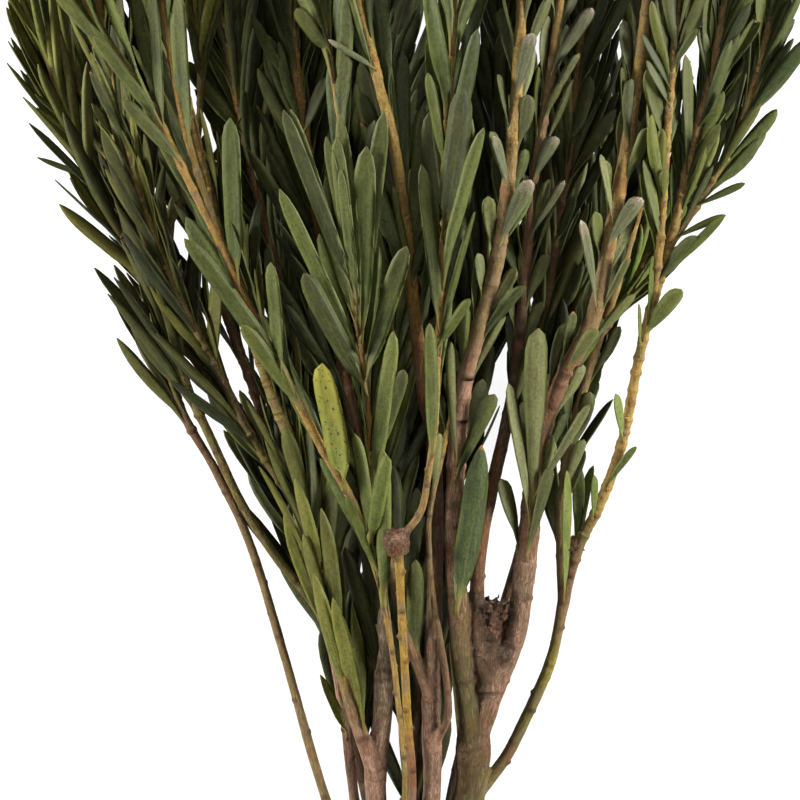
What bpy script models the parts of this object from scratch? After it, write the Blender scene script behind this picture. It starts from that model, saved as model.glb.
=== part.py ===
"""A tied bunch of leucadendron stems, lying on its side on a surface.

Ten woody stems are held by a rubber band above their cut ends. They fork and fan out into
leafy shoots, which carry strap-shaped leaves in a spiral. The bare wood of each stem is one
solid, and so is each leafy shoot, a twig with its leaves.

+X runs across the bunch, +Y from the cut ends to the tips, and +Z up. The origin is below the
middle of the bunch, on the surface that it lies on.
"""

import math
import random
from collections import namedtuple

import bmesh
import bpy
import numpy as np
from mathutils import Matrix, Vector
from mathutils.bvhtree import BVHTree
from mathutils.kdtree import KDTree

# All sizes are in millimetres until a mesh is made.
MILLIMETRE = 0.001
SEED = 26

# The band and the cut ends. Y is 0 where the stems start to fan out, above the band.
BAND_Y = -55.0
BAND_WIDTH = 14.0
BAND_THICKNESS = 2.4
BAND_GAP = 0.5
BAND_TURNS = 32  # straight sides of the band's outline

# The middle line of the bunch rises from the band to the thick of the foliage.
MIDDLE_X = 3.0
WAIST_HEIGHT = 22.0
FOLIAGE_HEIGHT, FOLIAGE_Y = 74.0, 320.0

ROUTE_STEP = 6.0  # spacing of the points along a route
SAMPLES_BETWEEN = 12  # of the curve between two of a route's own points
SAMPLES_ALONG = 400  # of a limb, to find its nearest place to a point
TANGENT_REACH = 3.0  # a limb's direction is taken over this far each way
TUBE_STEP = 34.0  # longest straight run in a twig's or stem's solid
SHORTEST_RUN = 2.0
THIN_TWIG, THICK_STEM = 3.7, 7.0  # diameters at which a limb's solid gets more sides
WELD = 0.01
SHARP_ANGLE = math.radians(50)
CUT_GAP = 0.3  # between the bare wood and the leafy shoot that goes on from it
SLEEVE = 0.6  # kept free round a twig by the leaves of its neighbours
SLEEVE_SIDES, SLEEVE_STEP = 6, 12.0
STEM_CLEARANCE = 2.0  # kept between stems that pass each other
EASING_ROUNDS = 70
FORK_REACH = 20.0  # limbs may touch this near to a fork of theirs
HELD_BY_BAND = 22.0  # the band keeps the stems where they are this far from its middle
FLOOR_GAP = 0.4  # lowest point of a leaf above the surface

GOLDEN_ANGLE = math.radians(137.508)

# A kind of leaf: its length and width, its spacing along the twig, how many degrees it opens and
# curls back in, how many real leaves the spiral has for each solid one, and where along the leaf
# its solid has a section.
Foliage = namedtuple("Foliage", "length width spacing opening curl thinning stations")
FOLIAGE = {
    "broad": Foliage(72, 12.0, 8.5, 22, 12, 2, (0.4, 0.8)),
    "olive": Foliage(55, 8.4, 7.5, 21, 9, 2, (0.62,)),
    "grey": Foliage(33, 8.8, 6.5, 26, 14, 2, (0.62,)),
    "bright": Foliage(42, 8.8, 6.8, 24, 12, 2, (0.62,)),
    "inner": Foliage(58, 9.5, 8.5, 22, 10, 4, (0.62,)),
}
LEAF_THICKNESS = 1.0
FOOT_WIDTH = 0.2  # of a leaf, as a share of its greatest width
WIDEST, SHOULDER = 0.55, 0.7  # the shares of a leaf's length where it is widest, and stops being
TIP_ROUNDNESS = 2.2  # 2 is a half ellipse, and more is blunter
CUPPING = 0.22  # how far a leaf's edges bend in, as a share of half its width
FOOT_OPENING = 0.3  # the share of its opening that a leaf has at its foot
FULLY_OPEN, FULLY_TURNED = 0.4, 0.6  # the shares of its length where a leaf is
ROOT_DEPTH = 0.35  # where a leaf's foot is in its twig, as a share of the twig's radius
BARE_ROOT = 0.14  # the share of a leaf that lies against its own twig
LEAF_TURN = math.radians(62)  # a leaf twists this far at most, to face out of the bunch
FLAT_FACING = 1.4  # how much more its faces look up or down than straight out from the middle
LEAF_STEPS = 24  # straight steps that make up a leaf's curve

# One limb of a stem: the limb that it grows from, its route, its diameter at both ends, how far
# it is bare, and its foliage. A limb with no foliage is bare to its end.
Limb = namedtuple("Limb", "name grows_from route diameters bare foliage")

BUNCH = {
    "stem_1": [
        Limb("main", None, [(-14, -112, 21), (-11, -55, 23), (-31, 0, 27), (-47, 56, 30),
                            (-61, 102, 36), (-75, 132, 40), (-90, 160, 43), (-97, 200, 50),
                            (-106, 235, 58), (-115, 270, 66), (-126, 325, 72), (-132, 375, 76)],
             (4.6, 2.0), 262, "olive"),
        Limb("side", "main", [(-97, 200, 50), (-112, 225, 46), (-130, 262, 48), (-144, 305, 52),
                              (-150, 350, 56)],
             (2.6, 1.6), 8, "olive"),
    ],
    "stem_2": [
        Limb("main", None, [(-15, -118, 12), (-11.5, -55, 14), (-19, 0, 18), (-24, 40, 25),
                            (-32, 72, 32), (-50, 96, 40), (-64, 118, 45), (-78, 148, 51),
                            (-88, 170, 56), (-94, 198, 65), (-104, 245, 78), (-116, 295, 88),
                            (-124, 345, 95), (-128, 395, 98)],
             (5.0, 2.2), 278, "olive"),
        Limb("side", "main", [(-98, 220, 71), (-84, 250, 66), (-80, 290, 68), (-84, 340, 72),
                              (-88, 385, 74)],
             (2.4, 1.6), 8, "olive"),
    ],
    "stem_3": [
        Limb("main", None, [(-4, -122, 15), (-3, -55, 17), (-10, 0, 22), (-7, 32, 27),
                            (-7, 64, 33), (-10, 100, 41), (-16, 138, 48), (-24, 180, 58),
                            (-32, 226, 68), (-40, 280, 82), (-46, 335, 92), (-50, 395, 97)],
             (10.4, 2.4), 232, "inner"),
        Limb("left", "main", [(-10, 8, 24), (-14, 19, 28), (-19, 34, 33), (-26, 62, 41),
                              (-33, 92, 47), (-38, 116, 51), (-43, 140, 55), (-52, 164, 62),
                              (-68, 215, 76), (-84, 275, 90), (-93, 335, 98), (-98, 390, 101)],
             (6.4, 2.2), 66, "olive"),
        Limb("far_left", "left", [(-37, 112, 50), (-46, 124, 50), (-62, 148, 55), (-72, 170, 60),
                                  (-86, 196, 68), (-102, 236, 80), (-112, 276, 90)],
             (3.0, 1.8), 10, "olive"),
        Limb("low", "main", [(-10, 100, 41), (-26, 142, 38), (-42, 190, 42), (-58, 245, 46),
                             (-70, 305, 50), (-78, 370, 54)],
             (4.0, 2.0), 14, "inner"),
    ],
    "stem_4": [
        Limb("main", None, [(1, -105, 34), (0.5, -55, 34), (5, 0, 44), (3, 32, 50),
                            (1, 68, 55), (-0.5, 96, 60), (-1.5, 103, 62)],
             (3.8, 4.2), None, None),
        Limb("knob", "main", [(-0.6, 98, 60.5), (-1.5, 104, 62), (-1.6, 108, 62.5)],
             (11.0, 8.6), None, None),
        Limb("right", "knob", [(-1.4, 103, 62), (8, 114, 64), (11, 128, 68), (14, 152, 74),
                               (15, 180, 82), (17, 212, 94), (18, 260, 107), (21, 300, 117),
                               (23, 345, 124), (22, 395, 126)],
             (3.6, 2.0), 34, "broad"),
    ],
    "stem_5": [
        Limb("main", None, [(-6, -110, 30), (-3.5, -55, 29), (2, 0, 38), (-1, 40, 43),
                            (-5, 70, 48), (-10, 94, 53), (-12, 102, 56), (-11, 125, 62),
                            (-13, 160, 76), (-17, 192, 90), (-20, 235, 104), (-26, 285, 112),
                            (-36, 345, 112), (-40, 395, 108)],
             (3.8, 2.0), 190, "broad"),
        Limb("left", "main", [(-12, 102, 56), (-20, 121, 63), (-32, 142, 70), (-44, 166, 79),
                              (-60, 198, 91), (-70, 222, 99), (-84, 250, 108), (-100, 280, 115),
                              (-118, 306, 119), (-134, 340, 119), (-142, 380, 115)],
             (3.4, 1.9), 26, "broad"),
        Limb("fork", "left", [(-70, 222, 99), (-79, 244, 106), (-86, 270, 113), (-93, 310, 120),
                              (-98, 355, 124), (-99, 395, 122)],
             (2.6, 1.7), 6, "broad"),
    ],
    "stem_6": [
        Limb("main", None, [(9, -120, 27), (6.5, -55, 28), (13, 0, 32), (13, 32, 36),
                            (15, 80, 45), (16, 112, 50), (14, 144, 58), (10, 162, 66),
                            (6, 196, 79), (2, 232, 93), (-3, 264, 105), (-10, 292, 114),
                            (-18, 325, 122), (-24, 365, 127), (-23, 410, 126)],
             (8.2, 2.4), 296, "broad"),
        Limb("left", "main", [(13, 40, 38), (7, 54, 42), (1, 74, 47), (-4, 96, 50),
                              (-5, 130, 55), (-2, 190, 66), (-3, 255, 78), (-6, 320, 88),
                              (-7, 380, 92)],
             (5.0, 2.0), 60, "inner"),
        Limb("twig", "main", [(14, 20, 36), (20, 32, 42), (20.5, 54, 46), (18.5, 80, 51),
                              (19, 108, 59), (25, 138, 67), (30, 160, 73)],
             (2.6, 1.6), 92, "grey"),
    ],
    "stem_7": [
        Limb("main", None, [(18, -125, 19), (15, -55, 20), (28, -2, 27), (30, 26, 32)],
             (13.0, 12.6), None, None),
        Limb("front", "main", [(29, 18, 31), (26.5, 40, 38), (24, 72, 45), (21.5, 104, 51),
                               (22, 130, 57), (25, 164, 67), (33, 194, 80), (39, 218, 90),
                               (44, 255, 104), (47, 296, 113), (49, 345, 120), (48, 400, 121)],
             (8.6, 2.4), 108, "grey"),
        Limb("right", "main", [(29, 16, 31), (34, 40, 34), (43, 66, 38), (49, 96, 43),
                               (52.5, 120, 48), (57, 148, 56), (66, 170, 64), (77, 192, 73),
                               (84, 226, 86), (91, 265, 96), (97, 310, 104), (102, 355, 108),
                               (103, 405, 108)],
             (10.4, 2.4), 84, "grey"),
        Limb("middle", "right", [(33, 36, 33), (33, 62, 40), (34, 96, 44), (40, 128, 49),
                                 (46, 165, 57), (50, 208, 71), (53, 245, 87), (60, 290, 98),
                                 (66, 340, 104), (69, 395, 105)],
             (6.4, 2.2), 112, "grey"),
        Limb("dead_stub", "right", [(34, 42, 35), (36, 64, 38), (36.5, 79, 41)],
             (9.0, 8.6), None, None),
        Limb("outer", "main", [(27, -6, 26), (42, 13, 26), (49, 26, 27), (61, 53, 30),
                               (66, 76, 35), (72, 100, 41), (81, 118, 45), (90, 144, 52),
                               (96, 176, 61), (102, 201, 70), (110, 230, 79), (116, 258, 87),
                               (124, 290, 94), (131, 330, 98), (135, 375, 99)],
             (5.2, 2.0), 122, "bright"),
        Limb("outer_knob", "outer", [(70, 98, 40), (71, 104, 41.5)],
             (8.4, 6.6), None, None),
        Limb("outer_low", "outer", [(66, 78, 35), (65, 104, 41), (66, 128, 46), (72, 156, 52),
                                    (80, 184, 55), (92, 222, 61), (104, 272, 70), (112, 325, 76),
                                    (115, 380, 77)],
             (3.6, 2.0), 16, "grey"),
        Limb("outer_front", "outer", [(101, 196, 68), (104, 224, 82), (106, 262, 95),
                                      (109, 305, 105), (112, 345, 110), (113, 385, 110)],
             (2.8, 1.8), 8, "bright"),
        Limb("outer_right", "outer", [(108, 222, 77), (120, 240, 78), (133, 262, 80),
                                      (143, 292, 84), (150, 325, 87), (154, 365, 88)],
             (2.8, 1.7), 6, "bright"),
    ],
    "stem_8": [
        Limb("main", None, [(-7, -108, 5.2), (-5, -55, 5.2), (-14, 0, 8), (-24, 40, 12),
                            (-34, 80, 15), (-46, 120, 18), (-60, 165, 20), (-78, 215, 22),
                            (-94, 270, 24), (-106, 325, 27), (-114, 380, 30)],
             (6.2, 2.0), 214, "inner"),
        Limb("side", "main", [(-46, 120, 18), (-62, 150, 25), (-84, 186, 29), (-106, 228, 32),
                              (-126, 275, 36), (-139, 320, 40), (-145, 360, 43)],
             (3.0, 1.7), 22, "olive"),
        Limb("middle", "main", [(-34, 80, 15), (-37, 120, 22), (-42, 168, 25), (-48, 225, 28),
                                (-54, 290, 31), (-58, 350, 34), (-58, 400, 36)],
             (3.4, 1.9), 32, "inner"),
    ],
    "stem_9": [
        Limb("main", None, [(6, -114, 5.7), (5, -55, 5.7), (6, 0, 9), (7, 40, 13), (6, 80, 16),
                            (4, 120, 18), (2, 165, 20), (-1, 220, 22), (-6, 280, 25),
                            (-10, 340, 28), (-12, 400, 31)],
             (7.2, 2.2), 210, "inner"),
        Limb("side", "main", [(6, 80, 16), (15, 120, 22), (25, 165, 25), (35, 220, 28),
                              (42, 285, 31), (46, 345, 34), (46, 400, 36)],
             (3.6, 1.9), 34, "inner"),
        Limb("middle", "main", [(4, 120, 18), (-7, 155, 32), (-15, 200, 40), (-20, 255, 47),
                                (-25, 315, 54), (-27, 385, 58)],
             (3.4, 1.9), 18, "inner"),
    ],
    "stem_10": [
        Limb("main", None, [(17, -110, 5.2), (14.5, -55, 5.2), (22, 0, 9), (32, 40, 12),
                            (43, 80, 14), (55, 120, 16), (66, 165, 18), (80, 215, 20),
                            (94, 270, 23), (105, 325, 26), (112, 380, 29)],
             (6.4, 2.0), 214, "inner"),
        Limb("side", "main", [(66, 165, 18), (88, 196, 26), (110, 236, 33), (128, 280, 40),
                              (139, 325, 46), (144, 365, 50)],
             (2.8, 1.7), 6, "bright"),
        Limb("middle", "main", [(43, 80, 14), (48, 120, 24), (54, 165, 33), (62, 215, 41),
                                (70, 275, 49), (75, 335, 54), (77, 395, 57)],
             (3.6, 1.9), 32, "inner"),
    ],
}

# The spiral of leaves on a twig. It starts and ends this far from the twig's foot and tip, and
# leaves are smaller and closer over its last stretch, and sparse over its first.
SPIRAL_START, SPIRAL_END = 5.0, 4.0
SMALLEST_LEAF, SMALLER_OVER = 0.62, 90.0
CLOSEST_SPACING, CLOSER_OVER = 0.45, 60.0
WIDEST_SPACING, SPARSE_OVER = 1.8, 40.0
AZIMUTH_SWAY = 0.3
SIZE_RANGE = (0.82, 1.12)
SPREAD_RANGE = (0.8, 1.25)
SPACING_RANGE = (0.8, 1.2)

# Leaves set by hand, where the bunch shows single ones: the limb, how far along Y the leaf's foot
# is, where its tip is in X and Y, and its width. One on bare wood is a piece of its own.
SetLeaf = namedtuple("SetLeaf", "limb foot_y tip width")
SET_LEAVES = [
    SetLeaf("stem_5_main", 182, (-13.2, 260), 11.5),
    SetLeaf("stem_5_main", 184, (-8.4, 274), 10.5),
    SetLeaf("stem_5_main", 191, (-25.2, 264), 7.5),
    SetLeaf("stem_5_main", 166, (-44, 244), 8.5),
    SetLeaf("stem_5_main", 188, (-41.2, 275), 10.5),
    SetLeaf("stem_5_main", 168, (1.2, 221), 9.5),
    SetLeaf("stem_5_main", 102, (-6.8, 138), 7.5),
    SetLeaf("stem_5_left", 162, (-82, 225), 9.5),
    SetLeaf("stem_5_left", 206, (-67, 271), 8.5),
    SetLeaf("stem_5_left", 124, (-28.8, 174), 10.5),
    SetLeaf("stem_7_right", 110, (46.4, 166), 6.5),
    SetLeaf("stem_7_right", 118, (58.4, 188), 8.5),
    SetLeaf("stem_7_right", 120, (74.4, 158), 5.5),
    SetLeaf("stem_7_front", 128, (36, 162), 8.5),
    SetLeaf("stem_7_front", 134, (20, 182), 5.5),
    SetLeaf("stem_7_outer_low", 120, (73.2, 144), 6.5),
    SetLeaf("stem_7_outer", 112, (79.6, 129), 4.5),
    SetLeaf("stem_7_outer", 126, (93.2, 142), 4.5),
    SetLeaf("stem_7_outer", 144, (87.6, 162), 5.5),
    SetLeaf("stem_7_outer", 186, (112.8, 204), 8.0),
    SetLeaf("stem_7_front", 74, (34, 141), 9.0),
    SetLeaf("stem_2_main", 24, (-31.6, 48), 5.5),
]
SET_LEAF_RISES = (6, 12, 18, 24, 0, -8, -16)  # height of the tip over the foot, tried in turn
SET_LEAF_CURL = math.radians(6)
SET_LEAF_STATIONS = (0.4, 0.8)
OPENING_OVER_CHORD = 1.12  # a leaf opens a little wider than the straight line to its tip

BARK_COLOUR = (0.33, 0.21, 0.13)
FOLIAGE_COLOUR = (0.16, 0.22, 0.10)
BAND_COLOUR = (0.62, 0.47, 0.28)


def smooth_ramp(x):
    """0 to 1 with a soft start and end."""
    x = min(max(x, 0.0), 1.0)
    return x * x * (3 - 2 * x)


def smooth_route(route):
    """Evenly spaced points on a Catmull-Rom curve through the route's own points."""
    knots = np.array(route, float)
    knots = np.vstack([2 * knots[0] - knots[1], knots, 2 * knots[-1] - knots[-2]])
    dense = []
    for a, b, c, d in zip(knots, knots[1:], knots[2:], knots[3:]):
        for t in np.linspace(0, 1, SAMPLES_BETWEEN, endpoint=False):
            bend = 2 * a - 5 * b + 4 * c - d
            sway = -a + 3 * b - 3 * c + d
            dense.append(b + 0.5 * t * ((c - a) + t * (bend + t * sway)))
    dense = np.array(dense + [knots[-2]])
    along = np.concatenate([[0], np.cumsum(np.linalg.norm(np.diff(dense, axis=0), axis=1))])
    count = max(3, round(along[-1] / ROUTE_STEP) + 1)
    at = np.linspace(0, along[-1], count)
    return np.stack([np.interp(at, along, dense[:, k]) for k in range(3)], axis=1)


class Shoot:
    """A limb with its smooth line, its thickness at each point and the limb that bears it."""

    def __init__(self, stem, limb, bearer):
        self.stem, self.limb, self.bearer = stem, limb, bearer
        self.name = f"{stem}_{limb.name}"
        self.line = smooth_route(limb.route)
        self.radii = np.linspace(limb.diameters[0] / 2, limb.diameters[1] / 2, len(self.line))
        self.moved = np.zeros_like(self.line)
        self.joint, self.bare = 0, 0.0
        if bearer:
            self.joint = int(np.argmin(np.linalg.norm(bearer.line - self.line[0], axis=1)))
        self.measure()

    def measure(self):
        steps = np.linalg.norm(np.diff(self.line, axis=0), axis=1)
        self.along = np.concatenate([[0], np.cumsum(steps)])
        self.length = self.along[-1]

    def straighten(self):
        """Swaps the smooth line for the few straight runs that the solids are made of."""
        count = max(2, math.ceil(self.length / TUBE_STEP) + 1)
        at = np.linspace(0, self.length, count)
        self.radii = np.array([self.radius(distance) for distance in at])
        self.line = np.array([self.at(distance) for distance in at])
        if self.bearer:
            self.joint = self.bearer.nearest(self.line[0])
            self.line[0] = self.bearer.at(self.joint)
        self.measure()
        if self.limb.foliage:
            # The leaves start in the middle of a straight run, where the solid can be cut square.
            run = np.searchsorted(self.along, self.limb.bare)
            self.bare = (self.along[run - 1] + self.along[run]) / 2

    def at(self, distance):
        return np.array([np.interp(distance, self.along, self.line[:, k]) for k in range(3)])

    def nearest(self, point):
        """Distance along the limb of its nearest place to a point."""
        at = np.linspace(0, self.length, SAMPLES_ALONG)
        places = np.array([self.at(distance) for distance in at])
        return float(at[np.argmin(np.linalg.norm(places - point, axis=1))])

    def distance_at(self, y):
        return float(np.interp(y, self.line[:, 1], self.along))

    def radius(self, distance):
        return float(np.interp(distance, self.along, self.radii))

    def direction(self, distance):
        first = max(distance - TANGENT_REACH, 0)
        last = min(distance + TANGENT_REACH, self.length)
        return Vector(self.at(last) - self.at(first)).normalized()


def grow_limbs():
    shoots = {}
    for stem, limbs in BUNCH.items():
        for limb in limbs:
            bearer = shoots.get(f"{stem}_{limb.grows_from}")
            shoot = Shoot(stem, limb, bearer)
            shoots[shoot.name] = shoot
    return list(shoots.values())


def ease_apart(shoots):
    """Bends limbs that would run into each other clear, and keeps every joint together."""
    starts = np.concatenate([[0], np.cumsum([len(s.line) for s in shoots])])
    owner = np.repeat(np.arange(len(shoots)), [len(s.line) for s in shoots])
    radii = np.concatenate([s.radii for s in shoots])
    widest = 2 * radii.max() + STEM_CLEARANCE
    for _ in range(EASING_ROUNDS):
        points = np.concatenate([s.line for s in shoots])
        tree = KDTree(len(points))
        for i, point in enumerate(points):
            tree.insert(point, i)
        tree.balance()
        push = np.zeros_like(points)
        joints = {s.name: s.line[0] for s in shoots if s.bearer}
        for i, point in enumerate(points):
            mine = shoots[owner[i]]
            for other, j, gap in tree.find_range(point, widest):
                theirs = shoots[owner[j]]
                wanted = radii[i] + radii[j] + STEM_CLEARANCE
                if j <= i or mine is theirs or gap >= wanted:
                    continue
                if mine.stem == theirs.stem and any(
                    np.linalg.norm(points[i] - joint) < FORK_REACH
                    and np.linalg.norm(points[j] - joint) < FORK_REACH
                    for name, joint in joints.items()
                    if name.startswith(mine.stem + "_")
                ):
                    continue
                apart = points[i] - points[j]
                apart = apart / max(np.linalg.norm(apart), 0.01) * (wanted - gap)
                give = radii[j] ** 2 / (radii[i] ** 2 + radii[j] ** 2)
                push[i] += apart * give
                push[j] -= apart * (1 - give)
        for shoot, start in zip(shoots, starts):
            moved = shoot.moved + push[start : start + len(shoot.line)]
            low = shoot.radii + FLOOR_GAP - (shoot.line + moved - shoot.moved)[:, 2]
            moved[:, 2] += np.maximum(low, 0)
            held = shoot.line[:, 1] < BAND_Y + HELD_BY_BAND
            if shoot.bearer:
                held[:] = False
            for _ in range(2):
                moved[1:-1] = (moved[:-2] + 2 * moved[1:-1] + moved[2:]) / 4
            moved[held] = 0
            if shoot.bearer:
                slip = shoot.bearer.moved[shoot.joint] - moved[0]
                fade = np.exp(-shoot.along / FORK_REACH)[:, None]
                moved += slip * fade
            shoot.line = shoot.line + moved - shoot.moved
            shoot.moved = moved
    for shoot in shoots:
        shoot.measure()
    for shoot in shoots:
        shoot.straighten()


def middle_of_bunch(y):
    """The middle line of the bunch, in the plane across it at y."""
    rise = smooth_ramp((y - BAND_Y) / (FOLIAGE_Y - BAND_Y))
    return Vector((MIDDLE_X, y, WAIST_HEIGHT + (FOLIAGE_HEIGHT - WAIST_HEIGHT) * rise))


def blade_width(v):
    """A leaf's width at this share of its length, as a share of its greatest width.
    It widens from a narrow foot to past the middle, and rounds off to the tip."""
    wide = FOOT_WIDTH + (1 - FOOT_WIDTH) * smooth_ramp(v / WIDEST)
    past_shoulder = max(0, (v - SHOULDER) / (1 - SHOULDER))
    return wide * math.sqrt(max(0, 1 - past_shoulder ** TIP_ROUNDNESS))


# One section across a leaf: its middle, the directions along and across the blade and out of its
# back, and half its width.
Section = namedtuple("Section", "middle along across back half_width")


def turn_to_face(middle, along, back):
    """The angle about the leaf's length that turns a face up or down, and a little outwards."""
    away = middle - middle_of_bunch(middle.y)
    away.y = 0
    outwards = away.normalized() + Vector((0, 0, math.copysign(FLAT_FACING, away.z)))
    facing = outwards - along * outwards.dot(along)
    turn = math.atan2(along.dot(back.cross(facing)), back.dot(facing))
    turn = (turn + math.pi / 2) % math.pi - math.pi / 2
    return min(max(turn, -LEAF_TURN), LEAF_TURN)


# How a leaf grows: the place of its foot on the twig, the twig's direction there, the side that
# it is on, its length and width, and the angles at which it opens and curls back in.
Growth = namedtuple("Growth", "foot ahead outward length width opening curl")


def leaf_sections(growth, stations):
    """Sections of a leaf at these shares of its length."""
    ahead, outward, length = growth.ahead, growth.outward, growth.length

    def frame_at(v):
        opened = FOOT_OPENING + (1 - FOOT_OPENING) * smooth_ramp(v / FULLY_OPEN)
        lean = growth.opening * opened - growth.curl * v * v
        along = ahead * math.cos(lean) + outward * math.sin(lean)
        return along, outward * math.cos(lean) - ahead * math.sin(lean)

    along, back = frame_at(0.5)
    turn = turn_to_face(growth.foot + along * length / 2, along, back)
    place, sections, done = growth.foot, [], 0.0
    for station in stations:
        while done < station - 1e-6:
            hop = min(1 / LEAF_STEPS, station - done)
            place = place + frame_at(done + hop / 2)[0] * length * hop
            done += hop
        along, back = frame_at(station)
        back = Matrix.Rotation(turn * smooth_ramp(station / FULLY_TURNED), 3, along) @ back
        across = along.cross(back)
        half = growth.width / 2 * blade_width(station)
        reach = abs(across.z) * half + max(0, back.z) * half * CUPPING + LEAF_THICKNESS / 2
        lift = max(0, FLOOR_GAP + reach - place.z)
        sections.append(Section(place + Vector((0, 0, lift)), along, across, back, half))
    return sections


def leaf_mesh(sections, tip):
    """Points and triangles of a closed blade, split alike on both faces.

    It starts as an upright edge, as a leaf's narrow foot does, and ends in a point."""
    root = sections[0]
    thick = root.back * LEAF_THICKNESS / 2
    points = [root.middle + thick, root.middle - thick]
    for s in sections[1:]:
        edge = s.back * s.half_width * CUPPING
        thick = s.back * LEAF_THICKNESS / 2
        points += [
            s.middle - s.across * s.half_width - edge,
            s.middle + thick,
            s.middle + s.across * s.half_width - edge,
            s.middle - thick,
        ]
    triangles = [(0, 3, 2), (0, 4, 3), (1, 2, 5), (1, 5, 4), (0, 2, 1), (0, 1, 4)]
    for left in range(2, len(points) - 4, 4):
        top, right, under = left + 1, left + 2, left + 3
        left2, top2, right2, under2 = left + 4, left + 5, left + 6, left + 7
        triangles += [(left, top, top2), (left, top2, left2)]
        triangles += [(right, top2, top), (right, right2, top2)]
        triangles += [(left, under2, under), (left, left2, under2)]
        triangles += [(right, under, under2), (right, under2, right2)]
    end = len(points)
    left, top, right, under = range(end - 4, end)
    points.append(tip)
    triangles += [(left, top, end), (top, right, end), (right, under, end), (under, left, end)]
    return points, triangles


def leaf_tip(last, length_left):
    tip = last.middle + last.along * length_left
    return Vector((tip.x, tip.y, max(tip.z, FLOOR_GAP)))


def solid_leaf(growth, stations):
    """The mesh of a whole leaf, and of the part of it that is clear of its own twig."""
    sections = leaf_sections(growth, (0, BARE_ROOT, *stations))
    tip = leaf_tip(sections[-1], growth.length * (1 - stations[-1]))
    return leaf_mesh([sections[0], *sections[2:]], tip), leaf_mesh(sections[1:], tip)


def sleeve_mesh(shoot):
    """A plain tube round a limb, a little fatter than it, which leaves keep out of."""
    points, triangles = [], []
    sides = SLEEVE_SIDES
    count = math.ceil(shoot.length / SLEEVE_STEP) + 1
    for i, distance in enumerate(np.linspace(0, shoot.length, count)):
        ahead = shoot.direction(distance)
        side = ahead.cross(Vector((0, 0, 1))).normalized()
        up = side.cross(ahead)
        radius = (shoot.radius(distance) + SLEEVE) / math.cos(math.pi / sides)
        for k in range(sides):
            turn = 2 * math.pi * k / sides
            offset = side * math.cos(turn) + up * math.sin(turn)
            points.append(Vector(shoot.at(distance)) + offset * radius)
        if i:
            for k in range(sides):
                a, b = (i - 1) * sides + k, (i - 1) * sides + (k + 1) % sides
                triangles += [(a, b, b + sides), (a, b + sides, a + sides)]
    return points, triangles


class Occupied:
    """What already fills the space, so that a new leaf can be tested against it."""

    def __init__(self):
        self.rows, self.low, self.high = [], [], []

    def add(self, mesh, shoot, node):
        points = np.array(mesh[0])
        self.rows.append((BVHTree.FromPolygons(*mesh), shoot, node))
        self.low.append(points.min(0))
        self.high.append(points.max(0))

    def is_clear(self, whole, blade, shoot, node):
        """Whether a leaf misses other nodes with all of it, and its own node with its blade."""
        points = np.array(whole[0])
        near = (np.array(self.low) <= points.max(0)).all(1)
        near &= (np.array(self.high) >= points.min(0)).all(1)
        trees = BVHTree.FromPolygons(*whole), BVHTree.FromPolygons(*blade)
        for i in np.flatnonzero(near):
            tree, other, other_node = self.rows[i]
            if other is shoot:
                continue
            if trees[other_node == node].overlap(tree):
                return False
        return True


# What a leaf tries in turn when something is in its way: turned round the twig by these angles
# in degrees, and opened by these shares of its usual angle.
SIDESTEPS = ((0, 1), (0, 0.7), (28, 1), (-28, 1), (28, 0.6), (-28, 0.6), (60, 0.8), (-60, 0.8),
             (0, 1.35), (90, 0.8), (-90, 0.8), (180, 0.8))

Leaf = namedtuple("Leaf", "node mesh")


def leaf_starts(shoot):
    """Distance, azimuth, size and spread of each leaf that a limb bears, in a spiral up the twig.
    They are sparse at its foot, and small and close at its tip."""
    kind = FOLIAGE[shoot.limb.foliage]
    draw = random.Random(f"{SEED} {shoot.name}")
    turn, distance, found = draw.uniform(0, 2 * math.pi), shoot.bare + SPIRAL_START, []
    while distance < shoot.length - SPIRAL_END:
        left, risen = shoot.length - distance, distance - shoot.bare
        size = SMALLEST_LEAF + (1 - SMALLEST_LEAF) * smooth_ramp(left / SMALLER_OVER)
        size *= draw.uniform(*SIZE_RANGE)
        azimuth = turn + draw.uniform(-AZIMUTH_SWAY, AZIMUTH_SWAY)
        found.append((distance, azimuth, size, draw.uniform(*SPREAD_RANGE)))
        turn += GOLDEN_ANGLE
        spacing = CLOSEST_SPACING + (1 - CLOSEST_SPACING) * smooth_ramp(left / CLOSER_OVER)
        spacing *= WIDEST_SPACING + (1 - WIDEST_SPACING) * smooth_ramp(risen / SPARSE_OVER)
        distance += kind.spacing * spacing * draw.uniform(*SPACING_RANGE)
    return found


def place_leaf(occupied, shoot, start):
    """The leaf of the spiral that starts here, in the first place where it is clear, or None."""
    distance, azimuth, size, spread = start
    kind, node = FOLIAGE[shoot.limb.foliage], node_of(shoot)
    ahead = shoot.direction(distance)
    side = ahead.cross(Vector((0, 0, 1))).normalized()
    for turn, share in SIDESTEPS:
        around = azimuth + math.radians(turn)
        outward = side * math.cos(around) + side.cross(ahead) * math.sin(around)
        foot = Vector(shoot.at(distance)) + outward * shoot.radius(distance) * ROOT_DEPTH
        opening = math.radians(kind.opening) * spread * share
        growth = Growth(foot, ahead, outward, kind.length * size, kind.width * math.sqrt(size),
                        opening, math.radians(kind.curl))
        whole, blade = solid_leaf(growth, kind.stations)
        if occupied.is_clear(whole, blade, shoot, node):
            occupied.add(whole, None, node)
            return Leaf(node, whole)
    return None


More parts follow.
